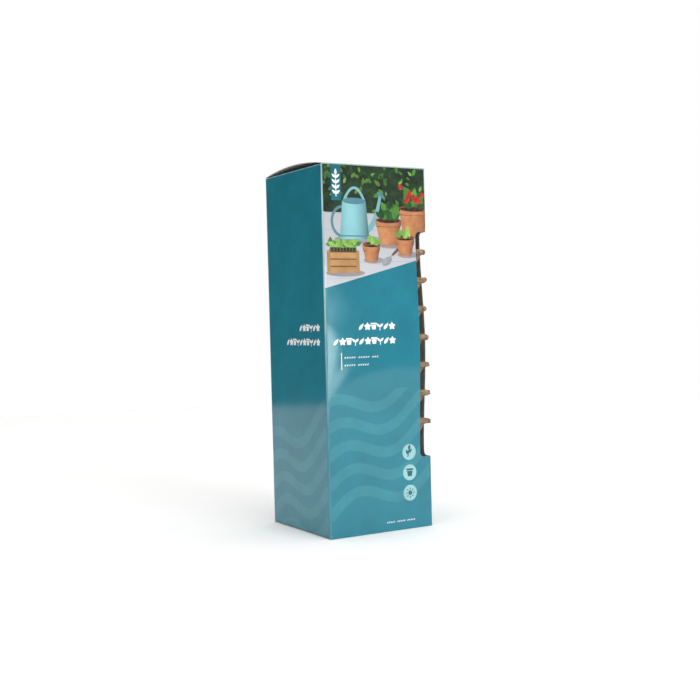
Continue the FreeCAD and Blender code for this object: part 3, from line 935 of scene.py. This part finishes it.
# inks of the picture: two tones, the scale of their spots and the softness of the spots' edges
pictureInks = {
    "table": ((206, 207, 211), (190, 192, 198), 18.0, 0.3),
    "tableLine": ((150, 152, 158), (176, 178, 184), 60.0, 0.25),
    "hedge": ((14, 30, 22), (40, 66, 38), 95.0, 0.12),
    "leafDark": ((30, 66, 34), (56, 104, 46), 220.0, 0.2),
    "leafMid": ((62, 124, 50), (104, 164, 66), 220.0, 0.2),
    "leafPale": ((122, 178, 74), (164, 208, 104), 220.0, 0.2),
    "clay": ((176, 112, 72), (206, 142, 98), 150.0, 0.2),
    "clayDark": ((112, 66, 44), (144, 90, 60), 150.0, 0.2),
    "earth": ((34, 20, 18), (84, 54, 44), 420.0, 0.12),
    "can": ((120, 182, 190), (150, 204, 210), 40.0, 0.3),
    "canDark": ((66, 122, 134), (92, 148, 158), 40.0, 0.3),
    "red": ((178, 30, 30), (212, 66, 50), 200.0, 0.2),
    "shade": ((134, 134, 142), (158, 158, 166), 60.0, 0.3),
    "steel": ((128, 134, 140), (176, 180, 184), 80.0, 0.3),
    "wood": ((186, 138, 88), (212, 168, 116), 90.0, 0.2),
}
picture = {
    "left": -41.3, "right": 41.4, "lowLeft": 169.6, "slope": 0.2565, "gap": 0.12, "edge": 0.1, "step": 1.6,
    "tab": (-35.0, -27.2, 229.0), "seed": 11,
}
table = {"foot": 160, "over": 3, "lines": (176, 187, 198, 209, 220), "lineWide": 0.3, "lineRise": (0.6, 1.6),
         "pale": 0.86, "gain": 0.14, "from": 222, "reach": 40}
hedge = {"foot": 221.0, "leaves": 120, "spread": 0.8, "size": (2.5, 6.5), "slim": 0.24, "light": (0.3, 0.85),
         "tones": ("leafDark", "leafDark", "leafMid", "leafMid", "leafPale")}
leafAngles = (20, 160)


def pictureClip():
    # the picture ends aslant below and follows the window's upper corner
    left, right, high, gap = picture["left"], picture["right"], top - picture["edge"], picture["gap"]
    free, head, bend = window["frontEdge"] - gap, window["head"] + gap, window["corner"]
    loop = [(x, picture["lowLeft"] + picture["slope"] * (x + half)) for x in (left, free)]
    loop += arcPoints(free + bend, head - bend, bend, 180, 90)
    return loop + [(right, head), (right, high), (left, high)]


def tableLight(x, z):
    return table["pale"] + table["gain"] * min(1, max(0, (table["from"] - z) / table["reach"]))


def makePicture():
    draw = random.Random(picture["seed"])
    names = list(pictureInks)
    shapes = []

    def add(name, loop, layer, light=shaded(1.0)):
        shapes.append((loop, names.index(name), layer, light))

    left, right, low = picture["left"], picture["right"], hedge["foot"]
    add("table", box(left, right, table["foot"], low + table["over"]), 0, tableLight)
    halfway, rise = table["lineRise"]
    for z in table["lines"]:
        add("tableLine", stroke([(left, z), (0, z + halfway), (right, z + rise)], table["lineWide"]), 1)
    add("hedge", box(left, right, low, top + 1), 2)
    for k in range(hedge["leaves"]):
        x, z = draw.uniform(left, right), low + (top - low) * draw.random() ** hedge["spread"]
        size = draw.uniform(*hedge["size"])
        tone = draw.choice(hedge["tones"])
        leaf = leafLoop(x, z, size, size * hedge["slim"], draw.uniform(*leafAngles))
        add(tone, leaf, 3, shaded(draw.uniform(*hedge["light"])))
    makeCan(add)
    makeClayPots(add, draw)
    makeTrug(add, draw)
    makeTrowel(add)
    x0, x1, low = picture["tab"]
    shapes.append((box(x0, x1, low, top - picture["edge"]), len(names), 99, shaded(1.0)))
    shapes.extend((loop, len(names) + 1, 100, shaded(1.0)) for loop in twigLoops())
    inks = [pictureInk(name + "Ink", *pictureInks[name]) for name in names] + [tabInk, whiteInk]
    inkPiece("frontPicture", shapes, onFront, inks, pictureClip(), picture["step"])


# a row of young plants: thin stems with leaves spread at their tops
sprouts = {
    "tall": (0.6, 1.1), "stem": 0.5, "lean": 0.4, "ways": (160, 120, 80, 25), "sway": 18,
    "leaf": (0.7, 1.05), "slim": 0.3, "light": (0.65, 1.05), "tones": ("leafPale", "leafMid", "leafPale"),
    "fork": (0.3, 0.5),   # where the leaves start: right of the stem's foot, below its top
}


def seedlings(add, draw, x0, x1, z, count, rise, layer):
    right, down = sprouts["fork"]
    for k in range(count):
        x = x0 + (x1 - x0) * (k + 0.5) / count
        tall = rise * draw.uniform(*sprouts["tall"])
        add("leafMid", stroke([(x, z), (x + sprouts["lean"], z + tall)], sprouts["stem"]), layer)
        for way in sprouts["ways"]:
            size = rise * draw.uniform(*sprouts["leaf"])
            tone = draw.choice(sprouts["tones"])
            angle = way + draw.uniform(-sprouts["sway"], sprouts["sway"])
            leaf = leafLoop(x + right, z + tall - down, size, size * sprouts["slim"], angle)
            add(tone, leaf, layer + 1, shaded(draw.uniform(*sprouts["light"])))


# watering can, spout to the right; its parts are placed from the middle of its foot
can = {
    "middle": -17.0, "low": 203.0, "tall": 26.0, "reach": 11.0, "footLip": 0.6, "topReach": 9.4, "round": 0.5,
    "shade": (3, 19, 2.8), "mouth": (9.3, 2.2), "rose": (21.8, 30.6, 3.8, 1.4), "roseTilt": -35,
    "spout": ((9.5, 6), (17, 9), (21, 30)), "spoutWide": (4.6, 2.2), "spoutLight": 0.8,
    "hoop": ((-8, 26), (0.5, 44), (8.2, 26)), "hoopWide": 1.8, "hoopLight": 0.9,
    "band": ((-11.4, 2.2), (11.4, 2.2)), "bandWide": 0.9,
    "grip": (-9.5, 12, 8.2, 10.0), "gripWide": 1.9, "gripPoints": 14,
}


def makeCan(add):
    cx, low, high, reach = can["middle"], can["low"], can["low"] + can["tall"], can["reach"]
    foot, end = reach + can["footLip"], can["topReach"]
    body = [(cx - foot, low), (cx + foot, low), (cx + end, high), (cx - end, high)]
    spout, hoop, band = ([(cx + x, low + z) for x, z in can[key]] for key in ("spout", "hoop", "band"))
    x, z, out, up = can["grip"]
    turns = [math.pi * k / can["gripPoints"] for k in range(can["gripPoints"] + 1)]
    grip = [(cx + x - out * math.sin(a), low + z + up * math.cos(a)) for a in turns]
    shift, wide, deep = can["shade"]
    add("shade", ellipse(cx + shift, low, wide, deep), 6)
    add("can", body, 8, roundLight(cx, reach, can["round"]))
    add("canDark", ellipse(cx, high, *can["mouth"]), 9)
    add("can", stroke(bent(*spout), *can["spoutWide"]), 7, shaded(can["spoutLight"]))
    x, z, wide, deep = can["rose"]
    add("canDark", ellipse(cx + x, low + z, wide, deep, tilt=can["roseTilt"]), 8)
    add("canDark", stroke(grip, can["gripWide"]), 7)
    add("canDark", stroke(band, can["bandWide"]), 9)
    add("can", stroke(bent(*hoop), can["hoopWide"]), 8, shaded(can["hoopLight"]))


# slatted wooden box of seedlings, front left
trug = {
    "left": -39.0, "right": -14.0, "low": 180.0, "high": 194.0, "slats": 3, "slat": 4.1, "pitch": 4.9,
    "slatLight": (0.86, 0.06, 0.004), "gapLight": 0.7,
    "post": 2.4, "postEnds": (0.6, 1.2), "postLight": 0.72, "shade": (1.5, 15, 2.4), "earth": (1, 3.4, -1.4),
    "plants": 9, "rise": 5.2, "inset": 1.5,
}


def makeTrug(add, draw):
    x0, x1, low, high, post = (trug[key] for key in ("left", "right", "low", "high", "post"))
    shift, wide, deep = trug["shade"]
    add("shade", ellipse((x0 + x1) / 2 + shift, low, wide, deep), 20)
    down, up, lean = trug["earth"]
    add("earth", box(x0 + post, x1 - post, high - down, high + up, lean), 21)
    light, step, fall = trug["slatLight"]
    for k in range(trug["slats"]):
        z = low + trug["pitch"] * k
        add("wood", box(x0, x1, z, z + trug["slat"]), 23, fadingLight(light + step * k, x0, fall))
        add("clayDark", box(x0, x1, z + trug["slat"], z + trug["pitch"]), 22, shaded(trug["gapLight"]))
    down, up = trug["postEnds"]
    for x in (x0, x1 - post):
        add("wood", box(x, x + post, low - down, high + up), 24, shaded(trug["postLight"]))
    inset = trug["inset"]
    seedlings(add, draw, x0 + inset, x1 - inset, high + 1, trug["plants"], trug["rise"], 22)


# round clay pots, from the rearmost to the nearest: middle, foot, reach, height, crop
clayPots = [
    (31.5, 206.0, 12.5, 19.0, "red"), (10.5, 199.0, 10.5, 17.5, "leafMid"),
    (24.0, 192.5, 7.6, 12.0, "leafPale"), (-4.0, 188.5, 7.0, 11.0, "leafPale"),
]
crops = {
    "red": {"leaves": 26, "tones": ("leafMid", "leafDark", "leafMid"), "rise": 8, "flowers": 11},
    "leafMid": {"leaves": 26, "tones": ("leafMid", "leafDark", "leafMid"), "rise": 8, "flowers": 0},
    "leafPale": {"leaves": 8, "tones": ("leafPale",), "rise": 2, "flowers": 0},
}


# shares of a pot's reach, and lengths
clay = {
    "foot": (0.7, 1.3), "shoulder": (0.92, 3), "groove": (0.93, 4.3, 0.9), "collar": (3.4, 1.1),
    "bodyRound": 0.55, "collarRound": 0.45, "mouth": 2.1, "earth": (0.88, 1.6, 0.2), "points": 12,
    "shade": (0.25, 1.15, 0.3, 2.3), "leaf": (0.5, 0.9), "leafReach": 0.6, "leafDrop": 0.5, "slim": 0.27,
    "light": (0.6, 1.05), "flowerReach": (-0.85, 0.7), "flowerRise": (3, 15),
    "petals": 5, "petal": (2.3, 0.85), "petalTurn": 10, "petalLight": (0.75, 0.07),
}


def clayPot(add, cx, low, reach, high, layer):
    turns = [math.pi + math.pi * k / clay["points"] for k in range(clay["points"] + 1)]
    arc = [(math.cos(a), math.sin(a)) for a in turns]
    share, sag = clay["foot"]
    body = [(cx + reach * share * c, low + sag * s) for c, s in arc]
    share, down = clay["shoulder"]
    body += [(cx + reach * share, high - down), (cx - reach * share, high - down)]
    down, sag = clay["collar"]
    collar = [(cx + reach * c, high - down + sag * s) for c, s in arc]
    collar += [(cx + reach, high), (cx - reach, high)]
    shift, wide, up, deep = clay["shade"]
    add("shade", ellipse(cx + reach * shift, low + up, reach * wide, deep), layer)
    add("clay", body, layer, roundLight(cx, reach, clay["bodyRound"]))
    share, down, wide = clay["groove"]
    groove = [(cx - reach * share, high - down), (cx + reach * share, high - down)]
    add("clayDark", stroke(groove, wide), layer)
    add("clay", collar, layer + 1, roundLight(cx, reach, clay["collarRound"]))
    add("clayDark", ellipse(cx, high, reach, clay["mouth"]), layer + 1)
    share, deep, down = clay["earth"]
    add("earth", ellipse(cx, high - down, reach * share, deep), layer + 1)


def makeClayPots(add, draw):
    # the layers of each pot lie over those of the pots behind it
    for number, (cx, low, reach, tall, crop) in enumerate(clayPots):
        layer, high, plant = 9 + 3 * number, low + tall, crops[crop]
        clayPot(add, cx, low, reach, high, layer)
        for k in range(plant["leaves"]):
            size = reach * draw.uniform(*clay["leaf"])
            x = cx + draw.uniform(-clay["leafReach"], clay["leafReach"]) * reach
            tone = draw.choice(plant["tones"]) if len(plant["tones"]) > 1 else plant["tones"][0]
            z = high + draw.uniform(-clay["leafDrop"], plant["rise"])
            leaf = leafLoop(x, z, size, size * clay["slim"], draw.uniform(*leafAngles))
            add(tone, leaf, layer + 2, shaded(draw.uniform(*clay["light"])))
        for k in range(plant["flowers"]):
            x, z = cx + draw.uniform(*clay["flowerReach"]) * reach, high + draw.uniform(*clay["flowerRise"])
            light, step = clay["petalLight"]
            for petal in range(clay["petals"]):
                leaf = leafLoop(x, z, *clay["petal"], petal * 360 / clay["petals"] + clay["petalTurn"] * k)
                add("red", leaf, layer + 2, shaded(light + step * petal))


trowel = {"tip": (4.0, 186.0), "neck": (11.6, 191.4), "sides": ((5.6, 191.6), (10.6, 185.4)), "shade": 0.9,
          "shank": ((11.0, 190.8), (13.2, 192.6)), "handle": ((13.0, 192.4), (18.0, 196.6)),
          "round": (8, 8, 0.2), "shankWide": 0.8, "handleWide": (1.5, 2.3)}


def makeTrowel(add):
    # small trowel on the table between the pots, its blade to the front
    tip, neck, (above, below) = trowel["tip"], trowel["neck"], trowel["sides"]
    blade = bent(tip, above, neck, 8) + bent(neck, below, tip, 8)[1:-1]
    add("shade", [(x + trowel["shade"], z - trowel["shade"]) for x, z in blade], 26)
    add("steel", blade, 27, roundLight(*trowel["round"]))
    add("steel", stroke(trowel["shank"], trowel["shankWide"]), 27)
    add("clayDark", stroke(trowel["handle"], *trowel["handleWide"]), 28)


# upright twig on the tab: pairs of leaves and one at its tip; shares are of its leaves' size
twig = {
    "x": -31.1, "low": 231.6, "high": 247.4, "size": 4.4, "stem": 0.15, "pairs": 4, "spaces": 4.4,
    "leaf": (0.92, 0.21), "angles": (40, 140), "tip": (0.3, 0.24),
}


def twigLoops():
    x, low, high, size = (twig[key] for key in ("x", "low", "high", "size"))
    sink, slim = twig["tip"]
    loops = [stroke([(x, low), (x, high)], twig["stem"] * size)]
    loops.append(leafLoop(x, high - sink * size, size, slim * size, 90))
    long, slim = twig["leaf"]
    for k in range(twig["pairs"]):
        z = low + (high - low) * (k + 0.5) / twig["spaces"]
        loops += [leafLoop(x, z, long * size, slim * size, angle) for angle in twig["angles"]]
    return loops


makePicture()
print("picture made")


# signs: borders of garden motifs, fine rows of seeds and three round badges
# a row is (z, from, to, number), and of seeds (z, from, to, number, size)

signs = {
    "rows": ((143.3, -17.0, 12.3, 6), (133.4, -36.5, 12.3, 10)), "rowSize": 5.8,
    "seedRows": ((122.6, -28.4, -1.6, 15, 2.0), (117.4, -28.4, -7.5, 12, 2.0), (6.4, 3.4, 28.6, 18, 1.7)),
    "badges": ((23.2, 54.2), (23.4, 39.8), (23.4, 25.4)), "badgeReach": 5.6,
    "icons": ((-1.2, -3.4, 7.2), (0, -1.6, 5.6), (0, 0, 3.8)),   # place from the badge's middle, size
    "sprigLean": 78,
    "rule": (-30.3, 114.4, 125.9, 0.55), "leftShift": 22.0, "step": 2.0,
}


def sprigLoops(x, z, size):
    # stem with two leaves and a bud
    lean = signs["sprigLean"]
    c, s = math.cos(math.radians(lean)), math.sin(math.radians(lean))
    loops = [stroke([(x, z), (x + size * 0.8 * c, z + size * 0.8 * s)], size * 0.12)]
    for turn, at in ((38, 0.25), (-38, 0.42), (0, 0.7)):
        loops.append(leafLoop(x + size * at * c, z + size * at * s, size * 0.55, size * 0.15, lean + turn))
    return loops


def sunLoops(x, z, size):
    loops = [ellipse(x, z, size * 0.42, size * 0.42, 20)]
    for k in range(8):
        c, s = size * math.cos(math.pi / 4 * k), size * math.sin(math.pi / 4 * k)
        loops.append(stroke([(x + 0.6 * c, z + 0.6 * s), (x + 0.95 * c, z + 0.95 * s)], size * 0.16))
    return loops


def potLoops(x, z, size):
    rim = [(-0.5, 0.55), (0.5, 0.55), (0.5, 0.78), (-0.5, 0.78)]
    body = [(-0.3, -0.2), (0.3, -0.2), (0.42, 0.48), (-0.42, 0.48)]
    return [[(x + a * size, z + b * size) for a, b in loop] for loop in (rim, body)]


def flowerLoops(x, z, size):
    return [leafLoop(x, z, size * 0.5, size * 0.17, 90 + 72 * k) for k in range(5)]


def sproutLoops(x, z, size):
    low, fork = z - 0.5 * size, z - 0.08 * size
    leaves = [leafLoop(x, fork, 0.62 * size, 0.15 * size, angle) for angle in (42, 138)]
    return [stroke([(x, low), (x, z)], 0.1 * size)] + leaves


def motifRow(z, x0, x1, count, size):
    loops, step = [], (x1 - x0) / count
    for k in range(count):
        x = x0 + step * (k + 0.5)
        motif = ("leaf", "flower", "pot", "sprout")[k % 4]
        if motif == "leaf":
            loops.append(leafLoop(x - 0.32 * size, z - 0.38 * size, size, 0.2 * size, 50))
        elif motif == "flower":
            loops += flowerLoops(x, z, size)
        elif motif == "pot":
            loops += potLoops(x, z - 0.2 * size, 0.8 * size)
        else:
            loops += sproutLoops(x, z, size)
    return loops


def seedRow(z, x0, x1, count, size):
    # seeds that lie aslant, in groups of five
    step = (x1 - x0) / count
    spots = [x0 + step * (k + 0.2) for k in range(count) if k % 6 != 5]
    return [leafLoop(x, z - 0.35 * size, size * 0.9, 0.17 * size, 52) for x in spots]


def makeSigns(name, place, shift, full):
    # the left panel has only the two borders
    white, pale, dark = [], [], []
    for z, x0, x1, count in signs["rows"]:
        white += motifRow(z, x0 + shift, x1 + shift, count, signs["rowSize"])
    if full:
        x, low, high, wide = signs["rule"]
        white.append(stroke([(x, low), (x, high)], wide))
        for row in signs["seedRows"]:
            white += seedRow(*row)
        draws = (sprigLoops, potLoops, sunLoops)
        for (cx, cz), (x, z, size), draw in zip(signs["badges"], signs["icons"], draws):
            pale.append(ellipse(cx, cz, signs["badgeReach"], signs["badgeReach"], 40))
            dark += draw(cx + x, cz + z, size)
    shapes = [(loop, 1, 1, shaded(1.0)) for loop in white]
    shapes += [(loop, 0, 1, shaded(1.0)) for loop in pale] + [(loop, 2, 3, shaded(1.0)) for loop in dark]
    inkPiece(name, shapes, place, [paleInk, whiteInk, darkInk], None, signs["step"])


makeSigns("frontSigns", onFront, 0.0, True)
makeSigns("leftSigns", onLeft, signs["leftShift"], False)


furrows = {
    "count": 5, "low": 14.0, "pitch": 17.5, "wide": 7.2, "sway": 9.0, "wave": 41.0, "lag": 0.35, "tilt": 0.32,
    "points": 40, "step": 2.4, "frontReach": 42.0, "sideReach": 41.0,
    # the edges that cut them off
    "high": 100.0, "foot": 0.15, "edge": (-41.2, 41.3), "windowGap": 0.1, "sideEdge": 40.4, "sideFoot": 0.9,
}


def furrow(index, w):
    # height of a furrow's middle; w runs round the near corner, 0 on the fold
    rise = furrows["low"] + furrows["pitch"] * index + furrows["tilt"] * w
    return rise + furrows["sway"] * math.sin(w / furrows["wave"] * math.pi + furrows["lag"] * index)


def makeFurrows(name, place, nearFold, reach, clip):
    # nearFold is 1 where the fold is at the start of the panel and -1 where it is at its end
    shapes, count = [], furrows["points"]
    xs = [-reach + 2 * reach * k / count for k in range(count + 1)]
    for index in range(furrows["count"]):
        line = [(x, furrow(index, x + nearFold * half)) for x in xs]
        shapes.append((stroke(line, furrows["wide"]), 0, 0, shaded(1.0)))
    inkPiece(name, shapes, place, [bandTeal], clip, furrows["step"])


left, right = furrows["edge"]
bend, gap = window["corner"], furrows["windowGap"]
frontClip = [(left, furrows["foot"]), (right, furrows["foot"]), (right, window["sill"] - 2 * gap)]
frontClip += arcPoints(window["frontEdge"] + bend - gap, window["sill"] + bend - gap, bend, 270, 180)
frontClip += [(window["frontEdge"] - 1.5 * gap, furrows["high"]), (left, furrows["high"])]
leftClip = box(-furrows["sideEdge"], furrows["sideEdge"], furrows["sideFoot"], furrows["high"])
makeFurrows("frontFurrows", onFront, 1, furrows["frontReach"], frontClip)
makeFurrows("leftFurrows", onLeft, -1, furrows["sideReach"], leftClip)
print("signs and furrows made")


# camera, floor and light

view = {
    "place": (-399.05, -675.88, 148.71), "azimuth": 30.674, "down": 1.633, "roll": -1.439,
    "focal": 1083.6, "frame": 700.0,   # in pixels
    "sensor": 36.0, "near": 20.0, "far": 50000.0,
}


def makeCamera():
    azimuth, down, roll = (math.radians(view[key]) for key in ("azimuth", "down", "roll"))
    ahead = Vector((math.sin(azimuth) * math.cos(down), math.cos(azimuth) * math.cos(down), -math.sin(down)))
    level = ahead.cross(Vector((0, 0, 1))).normalized()
    above = level.cross(ahead)
    side = level * math.cos(roll) + above * math.sin(roll)
    crown = above * math.cos(roll) - level * math.sin(roll)
    data = bpy.data.cameras.new("photoCamera")
    data.sensor_width = view["sensor"]
    data.lens = view["focal"] / view["frame"] * view["sensor"]
    data.clip_start, data.clip_end = view["near"] * mm, view["far"] * mm
    camera = bpy.data.objects.new("photoCamera", data)
    turn = Matrix((side, crown, -ahead)).transposed().to_4x4()
    camera.matrix_world = Matrix.Translation(Vector(view["place"]) * mm) @ turn
    bpy.context.scene.collection.objects.link(camera)
    bpy.context.scene.camera = camera


ground = {
    "reach": 1150.0, "drop": 0.05, "points": 96, "tones": ((255, 253, 251), (252, 251, 249)), "rough": 0.55,
    "clouds": (6, 2.0), "cloudRamp": (0.3, 0.7),
}


def makeFloor():
    loop = ellipse(0, 0, ground["reach"], ground["reach"], ground["points"])
    mesh = bpy.data.meshes.new("floor")
    mesh.from_pydata([Vector((x, y, -ground["drop"])) * mm for x, y in loop], [], [list(range(len(loop)))])
    floor = bpy.data.objects.new("floor", mesh)
    bpy.context.scene.collection.objects.link(floor)
    material, tree, shader = newMaterial("paleFloor")
    soft = greyRamp(tree, noiseNode(tree, *ground["clouds"]), *ground["cloudRamp"])
    first, second = (linear(tone) for tone in ground["tones"])
    tree.links.new(blendNode(tree, soft, first, second), shader.inputs["Base Color"])
    shader.inputs["Roughness"].default_value = ground["rough"]
    mesh.materials.append(material)


# key, edge and low are the small lamps that the glossy front mirrors; front lights the whole carton
glareTint, plainTint = (0.84, 1.0, 0.96), (1, 1, 1)
lamps = {
    "key": {"place": (338, -1120, 78), "aim": (0, 0, 130), "size": (104, 130), "turn": 0, "power": 0.42,
            "tint": glareTint},
    "edge": {"place": (421, -1120, 219), "aim": (0, 0, 150), "size": (52, 120), "turn": -45, "power": 0.17,
             "tint": glareTint},
    "low": {"place": (418, -1120, 22), "aim": (0, 0, 130), "size": (56, 44), "turn": 0, "power": 0.05,
            "tint": glareTint},
    "front": {"place": (300, -1900, 1100), "aim": (0, 0, 120), "size": (900, 900), "turn": 0, "power": 13.2,
              "tint": plainTint},
}
overhead = {"aim": (0.05, 0.1, -1), "spread": 100.0, "power": 2.6}


def makeLamp(name, rules):
    data = bpy.data.lights.new(name, "AREA")
    data.shape = "RECTANGLE"
    data.size, data.size_y = (size * mm for size in rules["size"])
    data.energy = rules["power"]
    data.color = rules["tint"]
    lamp = bpy.data.objects.new(name, data)
    spot, aim = Vector(rules["place"]) * mm, Vector(rules["aim"]) * mm
    facing = (aim - spot).to_track_quat("-Z", "Y").to_matrix().to_4x4()
    turn = Matrix.Rotation(math.radians(rules["turn"]), 4, "Z")
    lamp.matrix_world = Matrix.Translation(spot) @ facing @ turn
    bpy.context.scene.collection.objects.link(lamp)


def makeOverhead():
    data = bpy.data.lights.new("overhead", "SUN")
    data.angle = math.radians(overhead["spread"])
    data.energy = overhead["power"]
    lamp = bpy.data.objects.new("overhead", data)
    lamp.matrix_world = Vector(overhead["aim"]).to_track_quat("-Z", "Y").to_matrix().to_4x4()
    bpy.context.scene.collection.objects.link(lamp)


# the studio is dark behind and to the left, and evenly light elsewhere; the camera sees a white backdrop
sky = {
    "tone": (0.36, 0.37, 0.38, 1), "dark": (0.035, 0.04, 0.045, 1), "span": (0.25, 0.8),
    "away": (-0.5, 0.86, 0.1), "backdrop": (1, 1, 1, 1),
}


def makeSky():
    world = bpy.data.worlds.new("studio")
    bpy.context.scene.world = world
    world.use_nodes = True
    tree = world.node_tree
    tree.nodes.clear()
    output = tree.nodes.new("ShaderNodeOutputWorld")
    soft, plain = tree.nodes.new("ShaderNodeBackground"), tree.nodes.new("ShaderNodeBackground")
    away = facingNode(tree, "Generated", sky["away"])
    start, end = sky["span"]
    tree.links.new(rampNode(tree, away, [(start, sky["tone"]), (end, sky["dark"])]), soft.inputs["Color"])
    plain.inputs["Color"].default_value = sky["backdrop"]
    mix = tree.nodes.new("ShaderNodeMixShader")
    tree.links.new(tree.nodes.new("ShaderNodeLightPath").outputs["Is Camera Ray"], mix.inputs["Fac"])
    tree.links.new(soft.outputs["Background"], mix.inputs[1])
    tree.links.new(plain.outputs["Background"], mix.inputs[2])
    tree.links.new(mix.outputs["Shader"], output.inputs["Surface"])


makeCamera()
makeFloor()
for name, rules in lamps.items():
    makeLamp(name, rules)
makeOverhead()
makeSky()
bpy.context.scene.view_settings.view_transform = "Standard"
print("camera, floor and light made")
